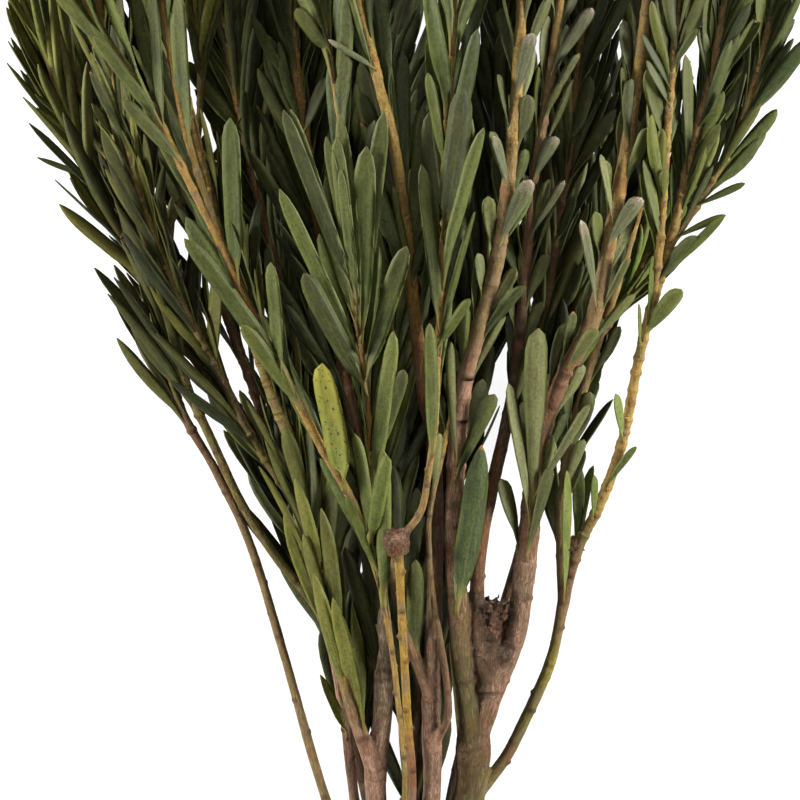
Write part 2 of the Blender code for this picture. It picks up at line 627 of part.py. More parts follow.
def place_set_leaf(occupied, shoots, leaf):
    """A leaf set by hand, with its tip at the first of the heights where it is clear, or None."""
    shoot = next(s for s in shoots if s.name == leaf.limb)
    distance = shoot.distance_at(leaf.foot_y)
    lone = distance < shoot.bare
    node = f"{shoot.name}_leaf_{leaf.foot_y}" if lone else node_of(shoot)
    ahead, start = shoot.direction(distance), Vector(shoot.at(distance))
    for rise in SET_LEAF_RISES:
        chord = Vector((*leaf.tip, start.z + rise)) - start
        outward = (chord - ahead * chord.dot(ahead)).normalized()
        depth = shoot.radius(distance) * ROOT_DEPTH
        if lone:
            depth = shoot.radius(distance) + CUT_GAP + LEAF_THICKNESS / 2
        growth = Growth(start + outward * depth, ahead, outward, chord.length, leaf.width,
                        ahead.angle(chord) * OPENING_OVER_CHORD, SET_LEAF_CURL)
        whole, blade = solid_leaf(growth, SET_LEAF_STATIONS)
        if occupied.is_clear(whole, blade, shoot, node):
            occupied.add(whole, None, node)
            return Leaf(node, whole)
    return None


def node_of(shoot):
    """The leafy shoot that a limb's leaves belong to: its own, or that of the limb it grows on."""
    bearer = shoot.bearer
    if bearer and bearer.limb.foliage and shoot.joint > bearer.bare:
        return node_of(bearer)
    return f"{shoot.name}_shoot"


def place_leaves(shoots):
    """The solid leaves of every limb: the top leaf, then every second or fourth to its foot."""
    occupied = Occupied()
    leafy = [s for s in shoots if s.limb.foliage]
    for shoot in shoots:
        wood = f"{shoot.stem}_wood"
        occupied.add(sleeve_mesh(shoot), shoot, node_of(shoot) if shoot.limb.foliage else wood)
    placed = [place_set_leaf(occupied, shoots, leaf) for leaf in SET_LEAVES]
    starts = {s.name: leaf_starts(s)[::-1][:: FOLIAGE[s.limb.foliage].thinning] for s in leafy}
    for turn in range(max(len(found) for found in starts.values())):
        for shoot in leafy:
            if turn < len(starts[shoot.name]):
                placed.append(place_leaf(occupied, shoot, starts[shoot.name][turn]))
    return [leaf for leaf in placed if leaf]


def clear_scene():
    for obj in list(bpy.data.objects):
        bpy.data.objects.remove(obj)


def new_collection(name):
    made = bpy.data.collections.new(name)
    bpy.context.scene.collection.children.link(made)
    return made


def new_material(name, colour, roughness):
    material = bpy.data.materials.new(name)
    material.use_nodes = True
    shader = material.node_tree.nodes["Principled BSDF"]
    shader.inputs["Base Color"].default_value = (*colour, 1)
    shader.inputs["Roughness"].default_value = roughness
    shader.inputs["Metallic"].default_value = 0
    return material


def mesh_object(name, points, faces, collection):
    mesh = bpy.data.meshes.new(name)
    mesh.from_pydata([Vector(p) * MILLIMETRE for p in points], [], faces)
    obj = bpy.data.objects.new(name, mesh)
    collection.objects.link(obj)
    return obj


def welded_mesh(name, guide, collection):
    """A closed mesh object in place of a curve object, which is removed."""
    graph = bpy.context.evaluated_depsgraph_get()
    mesh = bpy.data.meshes.new_from_object(guide.evaluated_get(graph))
    shape = bmesh.new()
    shape.from_mesh(mesh)
    bmesh.ops.remove_doubles(shape, verts=shape.verts, dist=WELD * MILLIMETRE)
    bmesh.ops.recalc_face_normals(shape, faces=shape.faces)
    shape.to_mesh(mesh)
    shape.free()
    mesh.transform(guide.matrix_world)
    obj = bpy.data.objects.new(name, mesh)
    collection.objects.link(obj)
    bpy.data.objects.remove(guide)
    return obj


def tube_detail(shoot):
    """Bevel resolution of a limb's solid: 4 sides on a thin twig, 6 on others, 8 on a stem."""
    thickest = 2 * shoot.radii[0]
    return 0 if thickest < THIN_TWIG else 1 if thickest < THICK_STEM else 2


def tube_object(name, shoot, first, last, collection):
    """The solid of a limb between two distances along it, from a bevelled curve."""
    between = [d for d in shoot.along if first + SHORTEST_RUN < d < last - SHORTEST_RUN]
    distances = [first, *between, last]
    curve = bpy.data.curves.new(name, "CURVE")
    curve.dimensions = "3D"
    curve.bevel_depth = MILLIMETRE
    curve.bevel_resolution = tube_detail(shoot)
    curve.use_fill_caps = True
    spline = curve.splines.new("POLY")
    spline.points.add(len(distances) - 1)
    for point, distance in zip(spline.points, distances):
        point.co = (*(shoot.at(distance) * MILLIMETRE), 1)
        point.radius = shoot.radius(distance)
    guide = bpy.data.objects.new(f"{name}_line", curve)
    collection.objects.link(guide)
    return welded_mesh(name, guide, collection)


def fuse(name, base, additions, collection, material):
    """One solid from the base and everything in the additions, which are then removed."""
    join = base.modifiers.new("join", "BOOLEAN")
    join.operation = "UNION"
    join.operand_type = "COLLECTION"
    join.collection = additions
    join.solver = "EXACT"
    graph = bpy.context.evaluated_depsgraph_get()
    mesh = bpy.data.meshes.new_from_object(base.evaluated_get(graph))
    mesh.name = name
    mesh.materials.clear()
    mesh.materials.append(material)
    mesh.shade_smooth()
    mesh.set_sharp_from_angle(angle=SHARP_ANGLE)
    solid = bpy.data.objects.new(name, mesh)
    collection.objects.link(solid)
    for obj in [base, *additions.objects]:
        bpy.data.objects.remove(obj)
    bpy.data.collections.remove(additions)
    return solid


def build_wood(stem, shoots, collection, workshop, material):
    """The bare wood of a stem: each limb as far as its first leaves."""
    additions = new_collection("additions")
    base = None
    for shoot in shoots:
        if shoot.bearer and node_of(shoot) != f"{shoot.name}_shoot":
            continue
        last = shoot.bare - CUT_GAP / 2 if shoot.limb.foliage else shoot.length
        place = additions if base else workshop
        made = tube_object(shoot.name, shoot, 0, last, place)
        base = base or made
    return fuse(f"{stem}_wood", base, additions, collection, material)


def build_shoot(name, shoots, leaves, collection, workshop, material):
    """A leafy shoot: its twig, the twigs that branch off it, and all their leaves."""
    additions = new_collection("additions")
    base = None
    for shoot in shoots:
        own = f"{shoot.name}_shoot" == name
        first = shoot.bare + CUT_GAP / 2 if own else 0
        place = workshop if own else additions
        made = tube_object(shoot.name, shoot, first, shoot.length, place)
        base = made if own else base
    for i, leaf in enumerate(leaves):
        mesh_object(f"leaf_{i}", *leaf.mesh, additions)
    return fuse(name, base, additions, collection, material)


def stretched_round(circles, margin):
    """The outline of a band stretched round circles, as far as they reach in every direction.
    The surface that the bunch lies on flattens it."""
    outline = []
    for angle in np.linspace(0, 2 * math.pi, BAND_TURNS, endpoint=False):
        out = np.array([math.cos(angle), math.sin(angle)])
        centre, radius = max(circles, key=lambda circle: circle[0] @ out + circle[1])
        x, z = centre + out * (radius + margin)
        outline.append((x, max(z, 0)))
    return outline


def stems_in_band(shoots):
    """Circles, in X and Z, where each stem enters, crosses and leaves the band."""
    circles = []
    for shoot in shoots:
        if shoot.bearer:
            continue
        for y in (BAND_Y - BAND_WIDTH / 2, BAND_Y, BAND_Y + BAND_WIDTH / 2):
            x, z, radius = (
                np.interp(y, shoot.line[:, 1], values)
                for values in (shoot.line[:, 0], shoot.line[:, 2], shoot.radii)
            )
            circles.append((np.array([x, z]), radius))
    return circles


def build_band(shoots, collection, material):
    """A rubber band round all the stems, as a flat ring that follows them."""
    circles = stems_in_band(shoots)
    curve = bpy.data.curves.new("rubber_band", "CURVE")
    curve.dimensions = "2D"
    curve.fill_mode = "BOTH"
    curve.extrude = BAND_WIDTH / 2 * MILLIMETRE
    for margin in (BAND_GAP, BAND_GAP + BAND_THICKNESS):
        outline = stretched_round(circles, margin)
        spline = curve.splines.new("POLY")
        spline.points.add(len(outline) - 1)
        spline.use_cyclic_u = True
        for point, (x, z) in zip(spline.points, outline):
            point.co = (x * MILLIMETRE, z * MILLIMETRE, 0, 1)
    guide = bpy.data.objects.new("rubber_band_outline", curve)
    guide.matrix_world = Matrix.Translation((0, BAND_Y * MILLIMETRE, 0)) @ Matrix.Rotation(
        math.pi / 2, 4, "X"
    )
    collection.objects.link(guide)
    band = welded_mesh("rubber_band", guide, collection)
    band.data.materials.append(material)


def set_on_surface(collection):
    """Moves the bunch so that the origin is under the middle of its box."""
    corners = np.array([v.co for obj in collection.objects for v in obj.data.vertices])
    low, high = corners.min(0), corners.max(0)
    shift = Matrix.Translation((-(low[0] + high[0]) / 2, -(low[1] + high[1]) / 2, -low[2]))
    for obj in collection.objects:
        obj.data.transform(shift)


def main():
    clear_scene()
    bunch, workshop = new_collection("leucadendron_bunch"), new_collection("workshop")
    bark = new_material("bark", BARK_COLOUR, 0.8)
    green = new_material("foliage", FOLIAGE_COLOUR, 0.55)
    rubber = new_material("rubber", BAND_COLOUR, 0.6)
    shoots = grow_limbs()
    ease_apart(shoots)
    leaves = place_leaves(shoots)
    for stem in BUNCH:
        own = [s for s in shoots if s.stem == stem]
        build_wood(stem, own, bunch, workshop, bark)
    nodes = sorted({node_of(s) for s in shoots if s.limb.foliage})
    for node in nodes:
        members = [s for s in shoots if s.limb.foliage and node_of(s) == node]
        borne = [leaf for leaf in leaves if leaf.node == node]
        build_shoot(node, members, borne, bunch, workshop, green)
    for leaf in leaves:
        if leaf.node not in nodes:
            mesh_object(leaf.node, *leaf.mesh, bunch).data.materials.append(green)
    build_band(shoots, bunch, rubber)
    bpy.data.collections.remove(workshop)
    set_on_surface(bunch)
    print(len(leaves), "leaves,", len(nodes), "leafy shoots")


main()
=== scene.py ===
import math
import random
from collections import namedtuple

import bmesh
import bpy
import numpy as np
from mathutils import Matrix, Vector
from mathutils.bvhtree import BVHTree
from mathutils.kdtree import KDTree


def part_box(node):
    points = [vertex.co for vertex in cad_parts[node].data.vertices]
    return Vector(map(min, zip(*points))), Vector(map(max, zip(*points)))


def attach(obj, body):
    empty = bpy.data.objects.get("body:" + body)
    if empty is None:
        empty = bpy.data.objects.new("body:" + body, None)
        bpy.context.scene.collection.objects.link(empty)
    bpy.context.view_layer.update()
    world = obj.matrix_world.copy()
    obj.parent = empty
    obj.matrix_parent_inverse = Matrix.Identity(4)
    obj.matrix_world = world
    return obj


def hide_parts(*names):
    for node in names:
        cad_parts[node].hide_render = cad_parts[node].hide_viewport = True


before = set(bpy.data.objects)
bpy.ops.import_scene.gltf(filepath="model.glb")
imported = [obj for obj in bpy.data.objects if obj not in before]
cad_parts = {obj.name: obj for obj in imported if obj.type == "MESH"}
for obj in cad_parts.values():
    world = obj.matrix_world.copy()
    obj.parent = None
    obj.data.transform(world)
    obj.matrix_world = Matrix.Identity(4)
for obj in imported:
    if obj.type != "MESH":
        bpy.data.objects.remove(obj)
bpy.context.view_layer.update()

# A tied bunch of leucadendron stems on a pale floor, seen from straight above.
# Places on the bunch are in millimetres here, with Y = 0 where the stems start to fan out.
# inFrame takes them to the frame's metres.

# One limb of a stem: the limb that it grows from, its route, its diameter at both ends, how far
# it is bare, and its foliage. A limb with no foliage is bare to its end.
Limb = namedtuple("Limb", "name growsFrom route diameters bare foliage")

bunch = {
    "stem_1": [
        Limb("main", None, [(-14, -112, 21), (-11, -55, 23), (-31, 0, 27), (-47, 56, 30),
                            (-61, 102, 36), (-75, 132, 40), (-90, 160, 43), (-97, 200, 50),
                            (-106, 235, 58), (-115, 270, 66), (-126, 325, 72), (-132, 375, 76)],
             (4.6, 2.0), 262, "olive"),
        Limb("side", "main", [(-97, 200, 50), (-112, 225, 46), (-130, 262, 48), (-144, 305, 52),
                              (-150, 350, 56)],
             (2.6, 1.6), 8, "olive"),
    ],
    "stem_2": [
        Limb("main", None, [(-15, -118, 12), (-11.5, -55, 14), (-19, 0, 18), (-24, 40, 25),
                            (-32, 72, 32), (-50, 96, 40), (-64, 118, 45), (-78, 148, 51),
                            (-88, 170, 56), (-94, 198, 65), (-104, 245, 78), (-116, 295, 88),
                            (-124, 345, 95), (-128, 395, 98)],
             (5.0, 2.2), 278, "olive"),
        Limb("side", "main", [(-98, 220, 71), (-84, 250, 66), (-80, 290, 68), (-84, 340, 72),
                              (-88, 385, 74)],
             (2.4, 1.6), 8, "olive"),
    ],
    "stem_3": [
        Limb("main", None, [(-4, -122, 15), (-3, -55, 17), (-10, 0, 22), (-7, 32, 27),
                            (-7, 64, 33), (-10, 100, 41), (-16, 138, 48), (-24, 180, 58),
                            (-32, 226, 68), (-40, 280, 82), (-46, 335, 92), (-50, 395, 97)],
             (10.4, 2.4), 232, "inner"),
        Limb("left", "main", [(-10, 8, 24), (-14, 19, 28), (-19, 34, 33), (-26, 62, 41),
                              (-33, 92, 47), (-38, 116, 51), (-43, 140, 55), (-52, 164, 62),
                              (-68, 215, 76), (-84, 275, 90), (-93, 335, 98), (-98, 390, 101)],
             (6.4, 2.2), 66, "olive"),
        Limb("far_left", "left", [(-37, 112, 50), (-46, 124, 50), (-62, 148, 55), (-72, 170, 60),
                                  (-86, 196, 68), (-102, 236, 80), (-112, 276, 90)],
             (3.0, 1.8), 10, "olive"),
        Limb("low", "main", [(-10, 100, 41), (-26, 142, 38), (-42, 190, 42), (-58, 245, 46),
                             (-70, 305, 50), (-78, 370, 54)],
             (4.0, 2.0), 14, "inner"),
    ],
    "stem_4": [
        Limb("main", None, [(1, -105, 34), (0.5, -55, 34), (5, 0, 44), (3, 32, 50),
                            (1, 68, 55), (-0.5, 96, 60), (-1.5, 103, 62)],
             (3.8, 4.2), None, None),
        Limb("knob", "main", [(-0.6, 98, 60.5), (-1.5, 104, 62), (-1.6, 108, 62.5)],
             (11.0, 8.6), None, None),
        Limb("right", "knob", [(-1.4, 103, 62), (8, 114, 64), (11, 128, 68), (14, 152, 74),
                               (15, 180, 82), (17, 212, 94), (18, 260, 107), (21, 300, 117),
                               (23, 345, 124), (22, 395, 126)],
             (3.6, 2.0), 34, "broad"),
    ],
    "stem_5": [
        Limb("main", None, [(-6, -110, 30), (-3.5, -55, 29), (2, 0, 38), (-1, 40, 43),
                            (-5, 70, 48), (-10, 94, 53), (-12, 102, 56), (-11, 125, 62),
                            (-13, 160, 76), (-17, 192, 90), (-20, 235, 104), (-26, 285, 112),
                            (-36, 345, 112), (-40, 395, 108)],
             (3.8, 2.0), 190, "broad"),
        Limb("left", "main", [(-12, 102, 56), (-20, 121, 63), (-32, 142, 70), (-44, 166, 79),
                              (-60, 198, 91), (-70, 222, 99), (-84, 250, 108), (-100, 280, 115),
                              (-118, 306, 119), (-134, 340, 119), (-142, 380, 115)],
             (3.4, 1.9), 26, "broad"),
        Limb("fork", "left", [(-70, 222, 99), (-79, 244, 106), (-86, 270, 113), (-93, 310, 120),
                              (-98, 355, 124), (-99, 395, 122)],
             (2.6, 1.7), 6, "broad"),
    ],
    "stem_6": [
        Limb("main", None, [(9, -120, 27), (6.5, -55, 28), (13, 0, 32), (13, 32, 36),
                            (15, 80, 45), (16, 112, 50), (14, 144, 58), (10, 162, 66),
                            (6, 196, 79), (2, 232, 93), (-3, 264, 105), (-10, 292, 114),
                            (-18, 325, 122), (-24, 365, 127), (-23, 410, 126)],
             (8.2, 2.4), 296, "broad"),
        Limb("left", "main", [(13, 40, 38), (7, 54, 42), (1, 74, 47), (-4, 96, 50),
                              (-5, 130, 55), (-2, 190, 66), (-3, 255, 78), (-6, 320, 88),
                              (-7, 380, 92)],
             (5.0, 2.0), 60, "inner"),
        Limb("twig", "main", [(14, 20, 36), (20, 32, 42), (20.5, 54, 46), (18.5, 80, 51),
                              (19, 108, 59), (25, 138, 67), (30, 160, 73)],
             (2.6, 1.6), 92, "grey"),
    ],
    "stem_7": [
        Limb("main", None, [(18, -125, 19), (15, -55, 20), (28, -2, 27), (30, 26, 32)],
             (13.0, 12.6), None, None),
        Limb("front", "main", [(29, 18, 31), (26.5, 40, 38), (24, 72, 45), (21.5, 104, 51),
                               (22, 130, 57), (25, 164, 67), (33, 194, 80), (39, 218, 90),
                               (44, 255, 104), (47, 296, 113), (49, 345, 120), (48, 400, 121)],
             (8.6, 2.4), 108, "grey"),
        Limb("right", "main", [(29, 16, 31), (34, 40, 34), (43, 66, 38), (49, 96, 43),
                               (52.5, 120, 48), (57, 148, 56), (66, 170, 64), (77, 192, 73),
                               (84, 226, 86), (91, 265, 96), (97, 310, 104), (102, 355, 108),
                               (103, 405, 108)],
             (10.4, 2.4), 84, "grey"),
        Limb("middle", "right", [(33, 36, 33), (33, 62, 40), (34, 96, 44), (40, 128, 49),
                                 (46, 165, 57), (50, 208, 71), (53, 245, 87), (60, 290, 98),
                                 (66, 340, 104), (69, 395, 105)],
             (6.4, 2.2), 112, "grey"),
        Limb("dead_stub", "right", [(34, 42, 35), (36, 64, 38), (36.5, 79, 41)],
             (9.0, 8.6), None, None),
        Limb("outer", "main", [(27, -6, 26), (42, 13, 26), (49, 26, 27), (61, 53, 30),
                               (66, 76, 35), (72, 100, 41), (81, 118, 45), (90, 144, 52),
                               (96, 176, 61), (102, 201, 70), (110, 230, 79), (116, 258, 87),
                               (124, 290, 94), (131, 330, 98), (135, 375, 99)],
             (5.2, 2.0), 122, "bright"),
        Limb("outer_knob", "outer", [(70, 98, 40), (71, 104, 41.5)],
             (8.4, 6.6), None, None),
        Limb("outer_low", "outer", [(66, 78, 35), (65, 104, 41), (66, 128, 46), (72, 156, 52),
                                    (80, 184, 55), (92, 222, 61), (104, 272, 70), (112, 325, 76),
                                    (115, 380, 77)],
             (3.6, 2.0), 16, "grey"),
        Limb("outer_front", "outer", [(101, 196, 68), (104, 224, 82), (106, 262, 95),
                                      (109, 305, 105), (112, 345, 110), (113, 385, 110)],
             (2.8, 1.8), 8, "bright"),
        Limb("outer_right", "outer", [(108, 222, 77), (120, 240, 78), (133, 262, 80),
                                      (143, 292, 84), (150, 325, 87), (154, 365, 88)],
             (2.8, 1.7), 6, "bright"),
    ],
    "stem_8": [
        Limb("main", None, [(-7, -108, 5.2), (-5, -55, 5.2), (-14, 0, 8), (-24, 40, 12),
                            (-34, 80, 15), (-46, 120, 18), (-60, 165, 20), (-78, 215, 22),
                            (-94, 270, 24), (-106, 325, 27), (-114, 380, 30)],
             (6.2, 2.0), 214, "inner"),
        Limb("side", "main", [(-46, 120, 18), (-62, 150, 25), (-84, 186, 29), (-106, 228, 32),
                              (-126, 275, 36), (-139, 320, 40), (-145, 360, 43)],
             (3.0, 1.7), 22, "olive"),
        Limb("middle", "main", [(-34, 80, 15), (-37, 120, 22), (-42, 168, 25), (-48, 225, 28),
                                (-54, 290, 31), (-58, 350, 34), (-58, 400, 36)],
             (3.4, 1.9), 32, "inner"),
    ],
    "stem_9": [
        Limb("main", None, [(6, -114, 5.7), (5, -55, 5.7), (6, 0, 9), (7, 40, 13), (6, 80, 16),
                            (4, 120, 18), (2, 165, 20), (-1, 220, 22), (-6, 280, 25),
                            (-10, 340, 28), (-12, 400, 31)],
             (7.2, 2.2), 210, "inner"),
        Limb("side", "main", [(6, 80, 16), (15, 120, 22), (25, 165, 25), (35, 220, 28),
                              (42, 285, 31), (46, 345, 34), (46, 400, 36)],
             (3.6, 1.9), 34, "inner"),
        Limb("middle", "main", [(4, 120, 18), (-7, 155, 32), (-15, 200, 40), (-20, 255, 47),
                                (-25, 315, 54), (-27, 385, 58)],
             (3.4, 1.9), 18, "inner"),
    ],
    "stem_10": [
        Limb("main", None, [(17, -110, 5.2), (14.5, -55, 5.2), (22, 0, 9), (32, 40, 12),
                            (43, 80, 14), (55, 120, 16), (66, 165, 18), (80, 215, 20),
                            (94, 270, 23), (105, 325, 26), (112, 380, 29)],
             (6.4, 2.0), 214, "inner"),
        Limb("side", "main", [(66, 165, 18), (88, 196, 26), (110, 236, 33), (128, 280, 40),
                              (139, 325, 46), (144, 365, 50)],
             (2.8, 1.7), 6, "bright"),
        Limb("middle", "main", [(43, 80, 14), (48, 120, 24), (54, 165, 33), (62, 215, 41),
                                (70, 275, 49), (75, 335, 54), (77, 395, 57)],
             (3.6, 1.9), 32, "inner"),
    ],
}

# A listed leaf: the limb, how far along Y the leaf's foot is, where its tip is in X and Y,
# its width, and its look if it has its own.
SetLeaf = namedtuple("SetLeaf", "limb footY tip width look", defaults=("",))


def leafRows(table):
    # reads rows of leaves, each row with its limb first
    found = []
    for row in table.strip().splitlines():
        limb, leaves = row.strip().split(": ")
        for leaf in leaves.split(", "):
            footY, x, y, width, *look = leaf.split()
            found.append(SetLeaf(limb, int(footY), (float(x), float(y)), float(width), *look))
    return found


# single leaves that the bunch shows, as in the CAD model
setLeaves = leafRows("""
    stem_5_main: 182 -13.2 260 11.5, 184 -8.4 274 10.5, 191 -25.2 264 7.5, 166 -44 244 8.5
    stem_5_main: 188 -41.2 275 10.5, 168 1.2 221 9.5, 102 -6.8 138 7.5
    stem_5_left: 162 -82 225 9.5, 206 -67 271 8.5, 124 -28.8 174 10.5 yellow
    stem_7_right: 110 46.4 166 6.5, 118 58.4 188 8.5, 120 74.4 158 5.5
    stem_7_front: 128 36 162 8.5, 134 20 182 5.5
    stem_7_outer_low: 120 73.2 144 6.5
    stem_7_outer: 112 79.6 129 4.5, 126 93.2 142 4.5, 144 87.6 162 5.5, 186 112.8 204 8
    stem_7_front: 74 34 141 9 lone
    stem_2_main: 24 -31.6 48 5.5
""")


class Wire:
    # wraps a socket, so that an expression on values adds its Math nodes
    def __init__(self, maker, socket):
        self.maker = maker
        self.socket = socket

    def maths(self, operation, first, second):
        return self.maker.maths(operation, first, second)

    def __add__(self, other):
        return self.maths("ADD", self, other)

    __radd__ = __add__

    def __sub__(self, other):
        return self.maths("SUBTRACT", self, other)

    def __rsub__(self, other):
        return self.maths("SUBTRACT", other, self)

    def __mul__(self, other):
        return self.maths("MULTIPLY", self, other)

    __rmul__ = __mul__

    def __truediv__(self, other):
        return self.maths("DIVIDE", self, other)

    def __pow__(self, other):
        return self.maths("POWER", self, other)

    def size(self):
        return self.maths("ABSOLUTE", self, 0)

    def least(self, other):
        return self.maths("MINIMUM", self, other)

    def ramp(self, low, high):
        # 0 at low to 1 at high, or the other way round if low is the greater
        return self.maker.node("ShaderNodeMapRange", {"interpolation_type": "SMOOTHSTEP"},
                               {"Value": self, "From Min": low, "From Max": high})


class NodeMaker:
    def __init__(self, tree):
        self.tree = tree

    def maths(self, operation, first, second=0.0):
        return self.node("ShaderNodeMath", {"operation": operation}, {0: first, 1: second})

    def node(self, kind, settings=(), values=(), output=0):
        made = self.tree.nodes.new(kind)
        for name, value in dict(settings).items():
            setattr(made, name, value)
        for key, value in dict(values).items():
            if isinstance(value, Wire):
                self.tree.links.new(value.socket, made.inputs[key])
            else:
                made.inputs[key].default_value = value
        return Wire(self, made.outputs[output])

    def vector(self, operation, first, second=(0, 0, 0), output=0):
        return self.node("ShaderNodeVectorMath", {"operation": operation}, {0: first, 1: second},
                         output)

    def dot(self, first, second):
        return self.vector("DOT_PRODUCT", first, second, 1)

    def scaled(self, vector, factor):
        return self.node("ShaderNodeVectorMath", {"operation": "SCALE"},
                         {"Vector": vector, "Scale": factor})

    def join(self, x, y, z):
        return self.node("ShaderNodeCombineXYZ", (), {0: x, 1: y, 2: z})

    def split(self, vector):
        first = self.node("ShaderNodeSeparateXYZ", (), {0: vector})
        outputs = first.socket.node.outputs
        return [Wire(self, outputs[k]) for k in range(3)]

    def mixColour(self, share, first, second, blend="MIX"):
        settings = {"data_type": "RGBA", "blend_type": blend}
        return self.node("ShaderNodeMix", settings, {0: share, 6: first, 7: second}, 2)

    def noise(self, place, scale, detail=2.0, roughness=0.5, distortion=0.0):
        values = {"Vector": place, "Scale": scale, "Detail": detail, "Roughness": roughness,
                  "Distortion": distortion}
        return self.node("ShaderNodeTexNoise", (), values)

    def attribute(self, name, output=1):
        return self.node("ShaderNodeAttribute", {"attribute_name": name}, (), output)

    def named(self, name, kind="FLOAT"):
        return self.node("GeometryNodeInputNamedAttribute", {"data_type": kind}, {"Name": name})

    def store(self, geometry, name, value, kind="FLOAT"):
        settings = {"data_type": kind, "domain": "POINT"}
        return self.node("GeometryNodeStoreNamedAttribute", settings,
                         {"Geometry": geometry, "Name": name, "Value": value})


def newMaterial(name):
    material = bpy.data.materials.new(name)
    material.use_nodes = True
    return material, NodeMaker(material.node_tree)


def finishMaterial(material, **sockets):
    shader = material.node_tree.nodes["Principled BSDF"]
    for name, value in sockets.items():
        socket = shader.inputs[name.replace("_", " ")]
        if isinstance(value, Wire):
            material.node_tree.links.new(value.socket, socket)
        else:
            socket.default_value = value
    return material


def newTree(name, inputs):
    # a geometry tree whose inputs are named here with their kind and usual value
    tree = bpy.data.node_groups.new(name, "GeometryNodeTree")
    tree.interface.new_socket("Geometry", in_out="INPUT", socket_type="NodeSocketGeometry")
    for label, (kind, usual) in inputs.items():
        socket = tree.interface.new_socket(label, in_out="INPUT", socket_type=f"NodeSocket{kind}")
        if usual is not None:
            socket.default_value = usual
    tree.interface.new_socket("Geometry", in_out="OUTPUT", socket_type="NodeSocketGeometry")
    maker = NodeMaker(tree)
    entry = tree.nodes.new("NodeGroupInput")
    return tree, maker, {s.name: Wire(maker, s) for s in entry.outputs if s.name}


def endTree(maker, geometry, material):
    smooth = maker.node("GeometryNodeSetShadeSmooth", (), {"Geometry": geometry})
    real = maker.node("GeometryNodeRealizeInstances", (), {"Geometry": smooth})
    dressed = maker.node("GeometryNodeSetMaterial", (), {"Geometry": real, "Material": material})
    leaving = maker.tree.nodes.new("NodeGroupOutput")
    maker.tree.links.new(dressed.socket, leaving.inputs[0])


def addTree(piece, tree, values):
    modifier = piece.modifiers.new(tree.name, "NODES")
    modifier.node_group = tree
    for item in tree.interface.items_tree:
        if item.in_out == "INPUT" and item.name in values:
            modifier[item.identifier] = values[item.name]


def settle(piece):
    # the result of the piece's modifiers becomes its own plain mesh, and they are removed
    graph = bpy.context.evaluated_depsgraph_get()
    mesh = bpy.data.meshes.new_from_object(piece.evaluated_get(graph))
    piece.modifiers.clear()
    piece.data = mesh
    shape = bmesh.new()
    shape.from_mesh(mesh)
    bmesh.ops.triangulate(shape, faces=[f for f in shape.faces if len(f.verts) > 4])
    if shape.calc_volume(signed=True) < 0:
        bmesh.ops.reverse_faces(shape, faces=shape.faces)
    shape.to_mesh(mesh)
    shape.free()
    return piece


def newPiece(name, mesh):
    piece = bpy.data.objects.new(name, mesh)
    bpy.context.scene.collection.objects.link(piece)
    return piece


def lineMesh(name, lines):
    # a mesh of open or closed lines. A line has points and one value of each kind for a point.
    mesh = bpy.data.meshes.new(name)
    points = np.concatenate([line["points"] for line in lines])
    edges, start = [], 0
    for line in lines:
        count = len(line["points"])
        edges += [(start + i, start + i + 1) for i in range(count - 1)]
        if line.get("closed"):
            edges.append((start + count - 1, start))
        start += count
    mesh.from_pydata(points.tolist(), edges, [])
    for key in lines[0]:
        if key in ("points", "closed"):
            continue
        values = np.concatenate([np.asarray(line[key], float) for line in lines])
        vectors = values.ndim == 2
        made = mesh.attributes.new(key, "FLOAT_VECTOR" if vectors else "FLOAT", "POINT")
        made.data.foreach_set("vector" if vectors else "value", values.astype(np.float32).ravel())
    return mesh


mm = 0.001
# how the limbs of the bunch are laid, as in the CAD model
bunchRule = {
    "seed": 26,
    "bandY": -55.0,
    "middleX": 3.0,
    "waistHeight": 22.0,
    "foliageHeight": 74.0,
    "foliageY": 320.0,
    "routeStep": 6.0,
    "curveSteps": 12,
    "nearestSteps": 400,
    "coarseStep": 34.0,
    "cutGap": 0.3,
    "sleeve": 0.6,
    "sleeveStep": 12,
    "sleeveSides": 6,
    "stemClearance": 2.0,
    "easingRounds": 70,
    "forkReach": 20.0,
    "heldByBand": 22.0,
    "floorGap": 0.4,
    "tangentReach": 3.0,
}

# A kind of leaf: its length and width, its spacing along the twig, how many degrees it opens and
# curls back in, how many leaves the CAD model's spiral skips over, and where its solid bends.
LeafKind = namedtuple("LeafKind", "length width spacing opening curl thinning stations")
leafKinds = {
    "broad": LeafKind(72, 12.0, 8.5, 22, 12, 2, (0.4, 0.8)),
    "olive": LeafKind(55, 8.4, 7.5, 21, 9, 2, (0.62,)),
    "grey": LeafKind(33, 8.8, 6.5, 26, 14, 2, (0.62,)),
    "bright": LeafKind(42, 8.8, 6.8, 24, 12, 2, (0.62,)),
    "inner": LeafKind(58, 9.5, 8.5, 22, 10, 4, (0.62,)),
}
leafShape = {
    "solidThickness": 1.0,
    "footWidth": 0.2,
    "widest": 0.55,
    "shoulder": 0.7,
    "tipRoundness": 2.2,
    "cupping": 0.22,
    "footOpening": 0.3,
    "fullyOpen": 0.4,
    "fullyTurned": 0.6,
    "rootDepth": 0.35,
    "shownDepth": 0.8,
    "bareRoot": 0.14,
    "mostTurn": math.radians(62),
    "mostSetTurn": math.radians(90),
    "setTurned": 0.25,
    "flatFacing": 1.4,
    "steps": 24,
}
spiral = {
    "start": 5.0,
    "end": 4.0,
    "smallest": 0.62,
    "smallerOver": 90.0,
    "closest": 0.45,
    "closerOver": 60.0,
    "widest": 1.8,
    "sparseOver": 40.0,
    "sway": 0.3,
    "sizes": (0.82, 1.12),
    "spreads": (0.8, 1.25),
    "spacings": (0.8, 1.2),
    "goldenAngle": math.radians(137.508),
}
